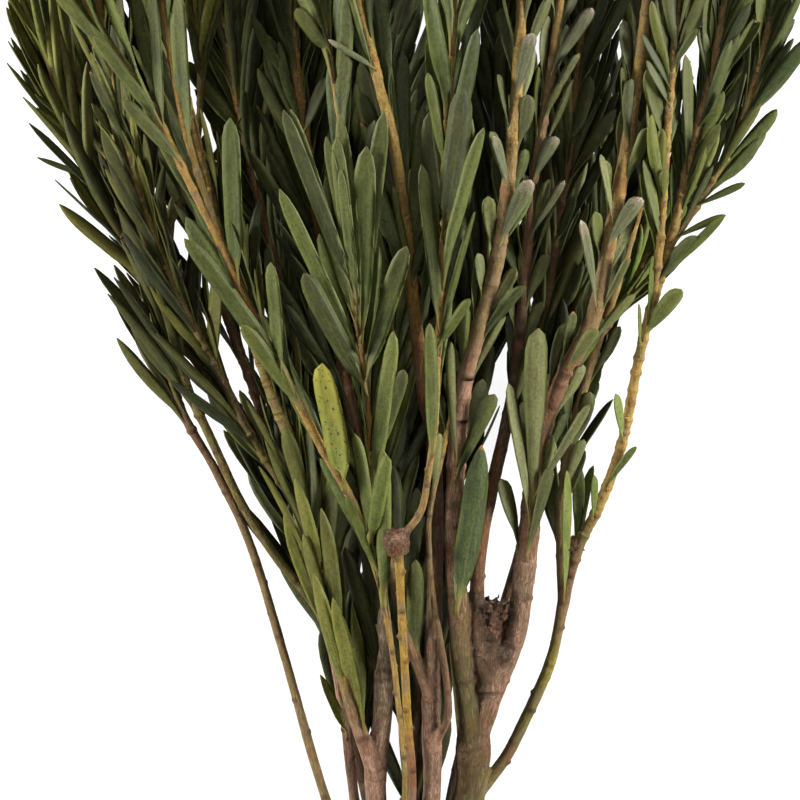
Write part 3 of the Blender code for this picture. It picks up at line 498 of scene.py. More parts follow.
# What a leaf tries in turn when something is in its way: degrees round the twig, and the share of
# its usual opening.
sidesteps = ((0, 1), (0, 0.7), (28, 1), (-28, 1), (28, 0.6), (-28, 0.6), (60, 0.8), (-60, 0.8),
             (0, 1.35), (90, 0.8), (-90, 0.8), (180, 0.8))
fillerSteps = sidesteps + ((140, 0.7), (-140, 0.7), (0, 0.4), (45, 0.45), (-45, 0.45), (110, 0.5))
setLeafRises = (6, 12, 18, 24, 0, -8, -16)
setLeafCurl = math.radians(6)
setLeafStations = (0.4, 0.8)
openingOverChord = 1.12

# leaves on the bare wood of the stems, which the CAD model doesn't have
lowLeaves = leafRows("""
    stem_3_left: 70 -39.2 106 7.5, 41 -35.6 90 8, 30 -33 76 7.5, 24 -25.2 80 9, 27 -19.5 86 9
    stem_3_left: 55 -24 104 9, 60 -30.5 116 8, 80 -24.5 132 9, 88 -42 128 8
    stem_3_main: 44 -19 100 9, 58 -16.5 118 9, 74 -20 132 9, 92 -1.5 140 9
    stem_6_left: 55 5.6 95 8.5, 72 9 124 8.5, 88 2 140 8.5
    stem_8_main: 46 -35 100 8.5, 60 -31 112 9, 74 -44 118 8.5, 92 -36 140 9
    stem_9_main: 50 -9 104 11, 62 -13 118 11, 78 -15 138 11, 70 2 122 9
    stem_8_main: 32 -13 92 11, 50 -16 110 11, 62 -20 126 11
    stem_9_side: 104 22 158 10, 112 34 166 10
    stem_9_main: 86 11 132 9
    stem_2_main: 171 -124 212 6.5, 174 -110 226 6.5, 170 -91 222 9, 176 -82 224 9
    stem_2_main: 182 -100 232 7
    stem_1_main: 176 -116 214 6
    stem_3_far_left: 172 -73 214 8.5, 186 -80 236 8.5
    stem_9_side: 118 40 182 10
    stem_10_middle: 128 42 186 9, 136 50 192 9
""")

# leaves that the bunch shows in front of the others, which the CAD model doesn't have either
frontLeaves = leafRows("""
    stem_5_main: 188 -20 273 5.2 front, 199 -23 251 4 front, 195 -26 264 4.8 front
    stem_4_right: 188 10 253 5.6 front, 225 28 282 10 dark, 252 13 289 4.4 front
    stem_6_main: 207 10 232 4.4 dark, 213 -3 244 2.8 front
    stem_4_right: 181 27 200 4.4 front
    stem_5_main: 162 -40 209 8.4 dark
    stem_5_left: 156 -62 190 6.8 front, 172 -51 214 6 front
    stem_7_front: 280 50 305 6 chewed
    stem_7_middle: 272 63 286 4 front, 289 74 316 6.8 chewed
    stem_10_middle: 262 75 291 7.2 dark
    stem_7_middle: 248 60 265 6.8 chewed
    stem_7_front: 245 39 264 4.4 chewed, 222 50 247 6.8 chewed
    stem_7_middle: 224 64 247 4 chewed
    stem_10_middle: 224 71 242 4.4 dark
    stem_7_right: 261 93 287 6 dark, 231 82 257 3.6 front, 222 93 241 7.2 chewed
    stem_7_outer_front: 224 97 255 5.2 front, 240 106 252 4.8 front, 300 109 330 8.8 front
    stem_7_outer_front: 277 98 294 4 front, 283 96 305 3.6 front
    stem_7_outer: 251 115 297 5.6 callus
    stem_7_outer_front: 291 117 307 3.6 front
    stem_7_outer: 286 120 308 5.2 front, 269 126 275 3.2 front
    stem_7_right: 198 75 231 4.4 chewed, 174 77 189 6.4 front
    stem_7_outer: 207 117 226 7.2 dark, 208 130 233 4 front
    stem_7_outer_right: 224 129 235 3.2 front, 237 137 247 3.2 front, 228 126 253 4 dark
    stem_7_outer: 191 102 217 3.2 front, 178 97 198 2 front
    stem_3_low: 266 -88 295 7.6 front
    stem_5_main: 200 -47 274 6 dark
    stem_3_main: 267 -31 289 5.2 front
    stem_5_main: 297 -41 314 6.4 front
    stem_6_main: 291 -27 302 2.4 chewed
    stem_2_side: 287 -85 314 4 dark
    stem_5_fork: 259 -90 322 7.2 front
    stem_5_left: 267 -96 324 4.8 front
    stem_2_side: 297 -85 321 4.4 front, 298 -74 326 5.2 front
    stem_3_low: 279 -69 323 3.6 front, 271 -62 320 3.2 front, 255 -64 285 4.8 dark
    stem_1_side: 249 -127 296 5.6 front, 226 -136 276 6.8 front, 208 -136 240 6 ochre
    stem_1_side: 262 -145 296 5.6 front, 270 -146 293 2.4 front, 256 -158 296 2.8 front
    stem_1_side: 241 -149 272 3.6 dark, 272 -147 283 2.4 dark, 265 -146 278 2 front
    stem_1_side: 249 -146 257 2.4 front
    stem_5_left: 254 -109 278 5.6 front, 268 -120 304 5.6 front
    stem_1_main: 265 -123 279 4 front
    stem_5_main: 122 -5.5 187 7.2 front, 134 0 172 7 dark, 76 -9 140 6.8 front
    stem_5_main: 101 -16 146 6 front, 91 -22 121 4.4 front
    stem_3_left: 112 -46 150 8 front, 98 -36 148 6.8 dark
    stem_4_right: 138 15 190 5.2 front
    stem_7_outer: 78 68 131 5.2 front
    stem_7_right: 97 59 133 5.6 dark
""")


def softRamp(x):
    x = min(max(x, 0.0), 1.0)
    return x * x * (3 - 2 * x)


def smoothRoute(route):
    # evenly spaced points on a Catmull-Rom curve through the route's own points
    knots = np.array(route, float)
    knots = np.vstack([2 * knots[0] - knots[1], knots, 2 * knots[-1] - knots[-2]])
    dense = []
    for a, b, c, d in zip(knots, knots[1:], knots[2:], knots[3:]):
        for t in np.linspace(0, 1, bunchRule["curveSteps"], endpoint=False):
            bend = 2 * a - 5 * b + 4 * c - d
            swing = -a + 3 * b - 3 * c + d
            dense.append(b + 0.5 * t * ((c - a) + t * (bend + t * swing)))
    dense = np.array(dense + [knots[-2]])
    along = np.concatenate([[0], np.cumsum(np.linalg.norm(np.diff(dense, axis=0), axis=1))])
    count = max(3, round(along[-1] / bunchRule["routeStep"]) + 1)
    at = np.linspace(0, along[-1], count)
    return np.stack([np.interp(at, along, dense[:, k]) for k in range(3)], axis=1)


class Path:
    # a line with a radius at each point
    def __init__(self, line, radii):
        self.line = line
        self.radii = radii
        steps = np.linalg.norm(np.diff(line, axis=0), axis=1)
        self.along = np.concatenate([[0], np.cumsum(steps)])
        self.length = self.along[-1]

    def at(self, distance):
        return np.array([np.interp(distance, self.along, self.line[:, k]) for k in range(3)])

    def radius(self, distance):
        return float(np.interp(distance, self.along, self.radii))

    def nearest(self, point):
        at = np.linspace(0, self.length, bunchRule["nearestSteps"])
        places = np.array([self.at(distance) for distance in at])
        return float(at[np.argmin(np.linalg.norm(places - point, axis=1))])

    def distanceAt(self, y):
        return float(np.interp(y, self.line[:, 1], self.along))

    def direction(self, distance):
        reach = bunchRule["tangentReach"]
        first = max(distance - reach, 0)
        last = min(distance + reach, self.length)
        return Vector(self.at(last) - self.at(first)).normalized()

    def axes(self, distance):
        # the ways ahead, level sideways and up
        ahead = self.direction(distance)
        side = ahead.cross(Vector((0, 0, 1))).normalized()
        return ahead, side, side.cross(ahead)

    def coarse(self):
        # the few straight runs that the CAD model's solids are made of
        count = max(2, math.ceil(self.length / bunchRule["coarseStep"]) + 1)
        at = np.linspace(0, self.length, count)
        line = np.array([self.at(distance) for distance in at])
        return Path(line, np.array([self.radius(distance) for distance in at]))


class Shoot:
    def __init__(self, stem, limb, bearer):
        self.stem = stem
        self.limb = limb
        self.bearer = bearer
        self.name = f"{stem}_{limb.name}"
        line = smoothRoute(limb.route)
        radii = np.linspace(limb.diameters[0] / 2, limb.diameters[1] / 2, len(line))
        self.fine = Path(line, radii)
        self.moved = np.zeros_like(line)
        self.joint = 0
        if bearer:
            gaps = np.linalg.norm(bearer.fine.line - line[0], axis=1)
            self.joint = int(np.argmin(gaps))

    def straighten(self):
        solid = self.fine.coarse()
        if self.bearer:
            self.joint = self.bearer.solid.nearest(solid.line[0])
            solid.line[0] = self.bearer.solid.at(self.joint)
        self.solid = Path(solid.line, solid.radii)
        self.bare = self.solid.length
        if self.limb.foliage:
            run = np.searchsorted(self.solid.along, self.limb.bare)
            self.bare = (self.solid.along[run - 1] + self.solid.along[run]) / 2
        self.stretch = self.fine.length / self.solid.length


def growLimbs():
    shoots = {}
    for stem, limbs in bunch.items():
        for limb in limbs:
            shoot = Shoot(stem, limb, shoots.get(f"{stem}_{limb.growsFrom}"))
            shoots[shoot.name] = shoot
    return list(shoots.values())


def easeApart(shoots):
    # bends limbs that would run into each other clear, and keeps every joint together
    rule = bunchRule
    starts = np.concatenate([[0], np.cumsum([len(s.fine.line) for s in shoots])])
    owner = np.repeat(np.arange(len(shoots)), [len(s.fine.line) for s in shoots])
    radii = np.concatenate([s.fine.radii for s in shoots])
    lines = [s.fine.line for s in shoots]
    widest = 2 * radii.max() + rule["stemClearance"]
    for _ in range(rule["easingRounds"]):
        points = np.concatenate(lines)
        tree = KDTree(len(points))
        for i, point in enumerate(points):
            tree.insert(point, i)
        tree.balance()
        push = np.zeros_like(points)
        joints = {s.name: line[0] for s, line in zip(shoots, lines) if s.bearer}
        for i, point in enumerate(points):
            mine = shoots[owner[i]]
            for unused, j, gap in tree.find_range(point, widest):
                theirs = shoots[owner[j]]
                wanted = radii[i] + radii[j] + rule["stemClearance"]
                if j <= i or mine is theirs or gap >= wanted:
                    continue
                if mine.stem == theirs.stem and any(
                    np.linalg.norm(points[i] - joint) < rule["forkReach"]
                    and np.linalg.norm(points[j] - joint) < rule["forkReach"]
                    for name, joint in joints.items()
                    if name.startswith(mine.stem + "_")
                ):
                    continue
                apart = points[i] - points[j]
                apart = apart / max(np.linalg.norm(apart), 0.01) * (wanted - gap)
                give = radii[j] ** 2 / (radii[i] ** 2 + radii[j] ** 2)
                push[i] += apart * give
                push[j] -= apart * (1 - give)
        for k, (shoot, start) in enumerate(zip(shoots, starts)):
            line = lines[k]
            moved = shoot.moved + push[start : start + len(line)]
            low = shoot.fine.radii + rule["floorGap"] - (line + moved - shoot.moved)[:, 2]
            moved[:, 2] += np.maximum(low, 0)
            held = line[:, 1] < rule["bandY"] + rule["heldByBand"]
            if shoot.bearer:
                held[:] = False
            for _ in range(2):
                moved[1:-1] = (moved[:-2] + 2 * moved[1:-1] + moved[2:]) / 4
            moved[held] = 0
            if shoot.bearer:
                slip = shoot.bearer.moved[shoot.joint] - moved[0]
                fade = np.exp(-shoot.fine.along / rule["forkReach"])[:, None]
                moved += slip * fade
            lines[k] = line + moved - shoot.moved
            shoot.moved = moved
    for shoot, line in zip(shoots, lines):
        shoot.fine = Path(line, shoot.fine.radii)
    for shoot in shoots:
        shoot.straighten()


def bladeWidth(v):
    shape = leafShape
    wide = shape["footWidth"] + (1 - shape["footWidth"]) * softRamp(v / shape["widest"])
    past = max(0, (v - shape["shoulder"]) / (1 - shape["shoulder"]))
    return wide * math.sqrt(max(0, 1 - past ** shape["tipRoundness"]))


Section = namedtuple("Section", "middle along across back halfWidth")
Growth = namedtuple("Growth", "foot ahead outward length width opening curl")


def turnToFace(middle, along, back, most):
    # the angle about the leaf's length that turns a face up or down, and a little outwards
    rise = softRamp((middle.y - bunchRule["bandY"]) / (bunchRule["foliageY"] - bunchRule["bandY"]))
    height = bunchRule["waistHeight"]
    height += (bunchRule["foliageHeight"] - height) * rise
    away = middle - Vector((bunchRule["middleX"], middle.y, height))
    outwards = away.normalized() + Vector((0, 0, math.copysign(leafShape["flatFacing"], away.z)))
    facing = outwards - along * outwards.dot(along)
    turn = math.atan2(along.dot(back.cross(facing)), back.dot(facing))
    turn = (turn + math.pi / 2) % math.pi - math.pi / 2
    return min(max(turn, -most), most)


def leafSections(growth, stations, facing=1.0, isSet=False):
    ahead, outward, length = growth.ahead, growth.outward, growth.length
    shape = leafShape
    turned = shape["setTurned" if isSet else "fullyTurned"]
    most = shape["mostSetTurn" if isSet else "mostTurn"]

    def frameAt(v):
        opened = softRamp(v / shape["fullyOpen"])
        opened = shape["footOpening"] + (1 - shape["footOpening"]) * opened
        lean = growth.opening * opened - growth.curl * v * v
        along = ahead * math.cos(lean) + outward * math.sin(lean)
        return along, outward * math.cos(lean) - ahead * math.sin(lean)

    along, back = frameAt(0.5)
    turn = turnToFace(growth.foot + along * length / 2, along, back, most) * facing
    place, sections, done = growth.foot, [], 0.0
    for station in stations:
        while done < station - 1e-6:
            hop = min(1 / shape["steps"], station - done)
            place = place + frameAt(done + hop / 2)[0] * length * hop
            done += hop
        along, back = frameAt(station)
        back = Matrix.Rotation(turn * softRamp(station / turned), 3, along) @ back
        across = along.cross(back)
        half = growth.width / 2 * bladeWidth(station)
        reach = abs(across.z) * half + max(0, back.z) * half * shape["cupping"]
        lift = max(0, bunchRule["floorGap"] + reach + shape["solidThickness"] / 2 - place.z)
        sections.append(Section(place + Vector((0, 0, lift)), along, across, back, half))
    return sections


def bladeMesh(sections, tip):
    # the same closed blade as the CAD model's, to try whether it is clear
    half = leafShape["solidThickness"] / 2
    root = sections[0]
    points = [root.middle + root.back * half, root.middle - root.back * half]
    for s in sections[1:]:
        edge = s.back * s.halfWidth * leafShape["cupping"]
        points += [
            s.middle - s.across * s.halfWidth - edge,
            s.middle + s.back * half,
            s.middle + s.across * s.halfWidth - edge,
            s.middle - s.back * half,
        ]
    faces = [(0, 3, 2), (0, 4, 3), (1, 2, 5), (1, 5, 4), (0, 2, 1), (0, 1, 4)]
    ring = [(0, 1, 5), (0, 5, 4), (2, 5, 1), (2, 6, 5), (0, 7, 3), (0, 4, 7), (2, 3, 7), (2, 7, 6)]
    for first in range(2, len(points) - 4, 4):
        faces += [tuple(first + corner for corner in face) for face in ring]
    end = len(points)
    points.append(tip)
    faces += [(end - 4, end - 3, end), (end - 3, end - 2, end)]
    faces += [(end - 2, end - 1, end), (end - 1, end - 4, end)]
    return points, faces


def solidLeaf(growth, stations):
    sections = leafSections(growth, (0, leafShape["bareRoot"], *stations))
    last = sections[-1]
    tip = last.middle + last.along * growth.length * (1 - stations[-1])
    tip.z = max(tip.z, bunchRule["floorGap"])
    return bladeMesh([sections[0], *sections[2:]], tip), bladeMesh(sections[1:], tip)


def sleeveMesh(path):
    points, faces = [], []
    sides = bunchRule["sleeveSides"]
    count = math.ceil(path.length / bunchRule["sleeveStep"]) + 1
    for i, distance in enumerate(np.linspace(0, path.length, count)):
        unused, side, up = path.axes(distance)
        radius = (path.radius(distance) + bunchRule["sleeve"]) / math.cos(math.pi / sides)
        for k in range(sides):
            turn = 2 * math.pi * k / sides
            offset = side * math.cos(turn) + up * math.sin(turn)
            points.append(Vector(path.at(distance)) + offset * radius)
        if i:
            for k in range(sides):
                a, b = (i - 1) * sides + k, (i - 1) * sides + (k + 1) % sides
                faces += [(a, b, b + sides), (a, b + sides, a + sides)]
    return points, faces


class Occupied:
    # what already fills the space, so that a new leaf can be tried against it
    def __init__(self):
        self.rows, self.low, self.high = [], [], []

    def add(self, mesh, shoot, node):
        points = np.array(mesh[0])
        self.rows.append((BVHTree.FromPolygons(*mesh), shoot, node))
        self.low.append(points.min(0))
        self.high.append(points.max(0))

    def isClear(self, whole, blade, shoot, node):
        points = np.array(whole[0])
        near = (np.array(self.low) <= points.max(0)).all(1)
        near &= (np.array(self.high) >= points.min(0)).all(1)
        trees = BVHTree.FromPolygons(*whole), BVHTree.FromPolygons(*blade)
        for i in np.flatnonzero(near):
            tree, other, otherNode = self.rows[i]
            if other is shoot:
                continue
            if trees[otherNode == node].overlap(tree):
                return False
        return True


def leafStarts(shoot, name=""):
    # distance, azimuth, size and spread of each leaf that a limb bears, in a spiral up the twig
    kind, rule = leafKinds[shoot.limb.foliage], spiral
    draw = random.Random(f"{bunchRule['seed']} {shoot.name}{name}")
    turn, distance, found = draw.uniform(0, 2 * math.pi), shoot.bare + rule["start"], []
    length = shoot.solid.length
    while distance < length - rule["end"]:
        left, risen = length - distance, distance - shoot.bare
        size = rule["smallest"] + (1 - rule["smallest"]) * softRamp(left / rule["smallerOver"])
        size *= draw.uniform(*rule["sizes"])
        azimuth = turn + draw.uniform(-rule["sway"], rule["sway"])
        found.append((distance, azimuth, size, draw.uniform(*rule["spreads"])))
        turn += rule["goldenAngle"]
        spacing = rule["closest"] + (1 - rule["closest"]) * softRamp(left / rule["closerOver"])
        spacing *= rule["widest"] + (1 - rule["widest"]) * softRamp(risen / rule["sparseOver"])
        distance += kind.spacing * spacing * draw.uniform(*rule["spacings"])
    return found


def nodeOf(shoot):
    bearer = shoot.bearer
    if bearer and bearer.limb.foliage and shoot.joint > bearer.bare:
        return nodeOf(bearer)
    return f"{shoot.name}_shoot"


def hasOwnNode(shoot):
    return nodeOf(shoot) == f"{shoot.name}_shoot"


# A placed leaf: the CAD node that it belongs to, its limb, how it grows on the limb's smooth path,
# how far along that its foot is, and the set leaf that it is, if it is one. It was tried on the
# CAD model's straight runs.
Leaf = namedtuple("Leaf", "node shoot growth distance set")


def growthAt(shoot, path, distance, azimuth, size, spread, share):
    depth = leafShape["rootDepth" if path is shoot.solid else "shownDepth"]
    kind = leafKinds[shoot.limb.foliage]
    ahead, side, up = path.axes(distance)
    outward = side * math.cos(azimuth) + up * math.sin(azimuth)
    foot = Vector(path.at(distance)) + outward * path.radius(distance) * depth
    opening = math.radians(kind.opening) * spread * share
    return Growth(foot, ahead, outward, kind.length * size, kind.width * math.sqrt(size), opening,
                  math.radians(kind.curl))


def placeLeaf(occupied, shoot, start, tries, tryWidth=1.0):
    distance, azimuth, size, spread = start
    kind, node = leafKinds[shoot.limb.foliage], nodeOf(shoot)
    if distance < shoot.bare:
        node = f"{shoot.stem}_wood"
    for turn, share in tries:
        growth = growthAt(shoot, shoot.solid, distance, azimuth + math.radians(turn), size, spread,
                          share)
        tried = growth._replace(width=growth.width * tryWidth)
        whole, blade = solidLeaf(tried, kind.stations)
        if occupied.isClear(whole, blade, shoot, node):
            occupied.add(whole, None, node)
            shown = growthAt(shoot, shoot.fine, distance * shoot.stretch,
                             azimuth + math.radians(turn), size, spread, share)
            return Leaf(node, shoot, shown, distance * shoot.stretch, None)
    return None


def setGrowth(path, distance, leaf, rise, lone, shown):
    ahead, start = path.direction(distance), Vector(path.at(distance))
    chord = Vector((*leaf.tip, start.z + rise)) - start
    outward = (chord - ahead * chord.dot(ahead)).normalized()
    depth = path.radius(distance) * leafShape["shownDepth" if shown else "rootDepth"]
    if lone and not shown:
        depth = path.radius(distance) + bunchRule["cutGap"] + leafShape["solidThickness"] / 2
    return Growth(start + outward * depth, ahead, outward, chord.length, leaf.width,
                  ahead.angle(chord) * openingOverChord, setLeafCurl)


def placeSetLeaf(occupied, leaf):
    shoot = shootNamed[leaf.limb]
    distance = shoot.solid.distanceAt(leaf.footY)
    lone = distance < shoot.bare
    node = f"{shoot.name}_leaf_{leaf.footY}" if lone else nodeOf(shoot)
    if lone and leaf in lowLeaves:
        node = f"{shoot.stem}_wood"
    for rise in setLeafRises:
        growth = setGrowth(shoot.solid, distance, leaf, rise, lone, False)
        whole, blade = solidLeaf(growth, setLeafStations)
        if occupied.isClear(whole, blade, shoot, node):
            occupied.add(whole, None, node)
            shownAt = distance * shoot.stretch
            shown = setGrowth(shoot.fine, shownAt, leaf, rise, lone, True)
            return Leaf(node, shoot, shown, shownAt, leaf)
    return None


def placeFrontLeaf(occupied, leaf):
    # nothing keeps a front leaf out: what covers it is left out later
    shoot = shootNamed[leaf.limb]
    distance = shoot.fine.distanceAt(leaf.footY)
    bare = distance < shoot.bare * shoot.stretch and hasOwnNode(shoot)
    node = f"{shoot.stem}_wood" if bare else nodeOf(shoot)
    growth = setGrowth(shoot.fine, distance, leaf, setLeafRises[0], False, True)
    occupied.add(solidLeaf(broughtForward(growth, shoot, distance), setLeafStations)[0], None, node)
    return Leaf(node, shoot, growth, distance, leaf)


# how far in front of their twig the foot and the tip of a leaf are, and how straight it is
frontLift = {"foot": 1.15, "tip": 3.5, "straightness": 0.7}


def broughtForward(growth, shoot, distance):
    # takes a leaf's foot to the front of its twig and its tip in front of whatever the twig does
    path, lean = shoot.fine, growth.opening / openingOverChord
    tip = growth.ahead * math.cos(lean) + growth.outward * math.sin(lean)
    tip = growth.foot + tip * growth.length
    ahead, unused, up = path.axes(distance)
    foot = Vector(path.at(distance)) + up * path.radius(distance) * frontLift["foot"]
    beside = path.distanceAt(tip.y)
    tip.z = max(tip.z, path.at(beside)[2] + path.radius(beside) + frontLift["tip"])
    chord = tip - foot
    ahead = ahead.lerp(chord.normalized(), frontLift["straightness"]).normalized()
    outward = (chord - ahead * chord.dot(ahead)).normalized()
    return growth._replace(foot=foot, ahead=ahead, outward=outward, length=chord.length,
                           opening=ahead.angle(chord) * openingOverChord,
                           curl=growth.curl * (1 - frontLift["straightness"]))


# More leaves than the CAD model's, between them: how many spirals each limb has in all, how wide
# their solids are when they are tried, and how low down the wood they start on some limbs.
filling = {
    "spirals": {"broad": 1, "olive": 3, "grey": 1, "bright": 3, "inner": 4},
    "tryWidth": 0.6,
    "lowStarts": {"stem_8_main": 112, "stem_9_main": 95, "stem_3_low": 2,
                  "stem_8_middle": 4, "stem_9_side": 20, "stem_9_middle": 4, "stem_3_left": 48,
                  "stem_3_main": 190, "stem_6_left": 40},
}


def fillerStarts(shoot, lap):
    # more starts of the same kind, with their own seed, and along the low bare wood as well
    low = filling["lowStarts"].get(shoot.name, shoot.bare)
    kept = shoot.bare
    shoot.bare = min(low, kept)
    starts = leafStarts(shoot, f" filling {lap}")
    shoot.bare = kept
    return [start for start in starts if lap or start[0] < kept]


def placeLeaves(shoots):
    # the CAD model's leaves first, in its own order, and then the rest of each spiral between them
    occupied = Occupied()
    leafy = [s for s in shoots if s.limb.foliage]
    for shoot in shoots:
        node = nodeOf(shoot) if shoot.limb.foliage else f"{shoot.stem}_wood"
        occupied.add(sleeveMesh(shoot.solid), shoot, node)
    placed = [placeSetLeaf(occupied, leaf) for leaf in setLeaves]
    starts = {s.name: leafStarts(s)[::-1] for s in leafy}
    thinned = {s.name: starts[s.name][:: leafKinds[s.limb.foliage].thinning] for s in leafy}
    for turn in range(max(len(found) for found in thinned.values())):
        for shoot in leafy:
            if turn < len(thinned[shoot.name]):
                placed.append(placeLeaf(occupied, shoot, thinned[shoot.name][turn], sidesteps))
    placed = [leaf for leaf in placed if leaf]
    solidCount = len(placed)
    placed += [placeSetLeaf(occupied, leaf) for leaf in lowLeaves]
    placed += [placeFrontLeaf(occupied, leaf) for leaf in frontLeaves]
    for shoot in leafy:
        kept = thinned[shoot.name]
        more = [start for start in starts[shoot.name] if start not in kept]
        for lap in range(filling["spirals"][shoot.limb.foliage]):
            more += fillerStarts(shoot, lap)
        for start in more:
            placed.append(placeLeaf(occupied, shoot, start, fillerSteps, filling["tryWidth"]))
    placed = [leaf for leaf in placed if leaf]
    print(f"leaves: {solidCount} as in the CAD model, {len(placed)} in all")
    return placed


print("growing limbs")
shoots = growLimbs()
easeApart(shoots)
shootNamed = {s.name: s for s in shoots}
print("placing leaves")
leaves = placeLeaves(shoots)

band = {
    "width": 14.0,
    "thickness": 2.4,
    "gap": 0.5,
    "sides": 64,
    "turns": 4,
    "strandWidth": 3.35,
    "sway": 0.25,
    "squareness": 0.45,
    "solidSides": 32,
    "strandSides": 16,
    "seed": 7,
}


def stemsInBand():
    circles = []
    for shoot in shoots:
        if not shoot.bearer:
            path = shoot.solid
            for y in (-1, 0, 1):
                at = bunchRule["bandY"] + y * band["width"] / 2
                x, z, radius = (
                    np.interp(at, path.line[:, 1], values)
                    for values in (path.line[:, 0], path.line[:, 2], path.radii)
                )
                circles.append((np.array([x, z]), radius))
    return circles


def stretchedRound(circles, margin, sides, floor):
    outline = []
    for angle in np.linspace(0, 2 * math.pi, sides, endpoint=False):
        out = np.array([math.cos(angle), math.sin(angle)])
        centre, radius = max(circles, key=lambda circle: circle[0] @ out + circle[1])
        x, z = centre + out * (radius + margin)
        outline.append((x, max(z, floor)))
    return np.array(outline)


def frameShift():
    # the frame's origin, from where the band is in both
    low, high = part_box("rubber_band")
    outline = stretchedRound(stemsInBand(), band["gap"] + band["thickness"], band["solidSides"],
                             0)
    middle = (outline[:, 0].min() + outline[:, 0].max()) / 2
    return Vector(((low.x + high.x) / 2 / mm - middle,
                   (low.y + high.y) / 2 / mm - bunchRule["bandY"], 0))


shift = frameShift()
print("shift", tuple(round(value, 3) for value in shift))


def inFrame(places):
    return (places + np.array(shift)) * mm


leafTable = {
    "stations": (0, 0.1, 0.22, 0.36, 0.5, 0.64, 0.77, 0.88, 0.955, 1.0),
    "sides": 6,
    "thickness": 0.75,
    "keelBelow": 5.0,
    "keelDepth": 0.7,
    "keelHalfWidth": 0.25,
    "tipHalfWidth": 0.28,
    "setFootShare": 1.4,
    "tipRoundness": 2.0,
    "sway": 0.06,
    "widths": (0.78, 1.1),
    "lengths": (0.85, 1.05),
    "wave": 0.6,
    "waveScale": 0.045,
    "cupping": 0.34,
    "turnedShare": 0.42,
    "facings": (0.35, 0.9),
    "tones": (0.65, 1.3),
    "curls": (-0.22, 0.2),
    "twist": 0.55,
    "setTwist": 0.15,
    "clinging": {"broad": 0.6, "olive": 0.7, "grey": 0.7, "bright": 0.75, "inner": 0.95},
    "inFront": 0.35,
    "aside": 0.45,
    "movedShare": 0.8,
    "coverShare": 0.65,
    "twigFace": 0.6,
    "coverStations": (3, 10, 22),
    "belowAll": -99,
    "gapSteps": 9,
    "edgeThickness": 0.8,
    "waveAcross": 9,
}
# painted light and shade: how much lighter or darker leaves are made at some places along Y, by
# their kind, for the light and shade across the bunch
paintedLeafShades = {
    "broad": ((40, 100, 150, 200, 240, 280), (1.3, 0.95, 0.85, 0.72, 0.66, 0.85)),
    "olive": ((40, 110, 150, 200, 240, 310), (1.2, 0.72, 0.5, 0.42, 0.64, 1.15)),
    "grey": ((150, 230, 260, 320), (0.98, 0.92, 0.75, 0.72)),
    "bright": ((150, 210, 250, 320), (1.25, 0.92, 0.56, 0.5)),
    "inner": ((110, 320), (0.7, 0.85)),
}
# How a kind of leaf looks: its width as a share of the solid's, how wide its foot is, where it is
# widest and where its tip starts, how pointed the tip is, colours to draw from, and how damaged,
# speckled and yellowed.
LeafLook = namedtuple("LeafLook", "width foot widest shoulder point colours damage speckle yellow")
leafLooks = {
    "broad": LeafLook(0.6, 0.36, 0.4, 0.8, 0.5,
                      ((0.032, 0.041, 0.008), (0.042, 0.052, 0.013), (0.022, 0.030, 0.005)),
                      0.06, 0.45, 0.12),
    "olive": LeafLook(0.62, 0.34, 0.4, 0.66, 0.7,
                      ((0.033, 0.035, 0.005), (0.060, 0.058, 0.009), (0.016, 0.019, 0.003)),
                      0.08, 0.35, 0.25),
    "grey": LeafLook(0.74, 0.22, 0.74, 0.84, 0.45,
                     ((0.040, 0.043, 0.014), (0.056, 0.059, 0.023), (0.024, 0.031, 0.007)),
                     0.16, 0.15, 0.1),
    "bright": LeafLook(0.7, 0.24, 0.66, 0.76, 0.55,
                       ((0.034, 0.045, 0.007), (0.052, 0.062, 0.012), (0.022, 0.033, 0.005)),
                       0.1, 0.1, 0.18),
    # the inner leaves' colours are darker than the other kinds' as painted shade for the depth of
    # the bunch
    "inner": LeafLook(0.7, 0.34, 0.45, 0.76, 0.6,
                      ((0.013, 0.017, 0.003), (0.021, 0.025, 0.005), (0.009, 0.012, 0.002)),
                      0.05, 0.2, 0.1),
}


def shownWidth(v, look, isSet):
    foot = look.foot * (leafTable["setFootShare"] if isSet else 1)
    wide = foot + (1 - foot) * softRamp(v / look.widest)
    past = max(0, (v - look.shoulder) / (1 - look.shoulder))
    return wide * max(0, 1 - past ** leafTable["tipRoundness"]) ** look.point


# leaves with a look of their own: width share, colour, how damaged, speckled and yellowed they
# are, and the seed, which gives an orange tip above 0.9
SetLook = namedtuple("SetLook", "width colour damage speckle yellow seed")
setLooks = {
    "": SetLook(0.84, None, 0.1, 0.5, 0.1, 0.3),
    "front": SetLook(1.0, None, 0.1, 0.4, 0.15, 0.35),
    "dark": SetLook(1.0, (0.022, 0.026, 0.007), 0.05, 0.3, 0.05, 0.4),
    "chewed": SetLook(1.0, (0.046, 0.050, 0.026), 0.6, 0.2, 0.1, 0.5),
    "callus": SetLook(1.0, (0.050, 0.062, 0.012), 0.1, 0.2, 0.2, 0.97),
    "ochre": SetLook(1.0, (0.085, 0.078, 0.010), 0.1, 0.4, 0.4, 0.45),
    "yellow": SetLook(1.05, (0.055, 0.070, 0.013), 0.0, 1.0, 0.75, 0.4),
    "lone": SetLook(1.2, (0.018, 0.025, 0.005), 0.0, 0.7, 0.0, 0.97),
}
# how wide, in millimetres, some of the CAD model's set leaves are in the photo
shownWidths = {
    ("stem_5_main", 182): 9.3, ("stem_5_main", 184): 7.2, ("stem_5_main", 188): 6.4,
    ("stem_5_main", 166): 6.4, ("stem_5_main", 168): 8.0, ("stem_5_left", 206): 8.0,
    ("stem_5_left", 162): 8.4, ("stem_7_right", 110): 5.7, ("stem_7_right", 118): 10.8,
    ("stem_7_outer", 186): 8.4,
}
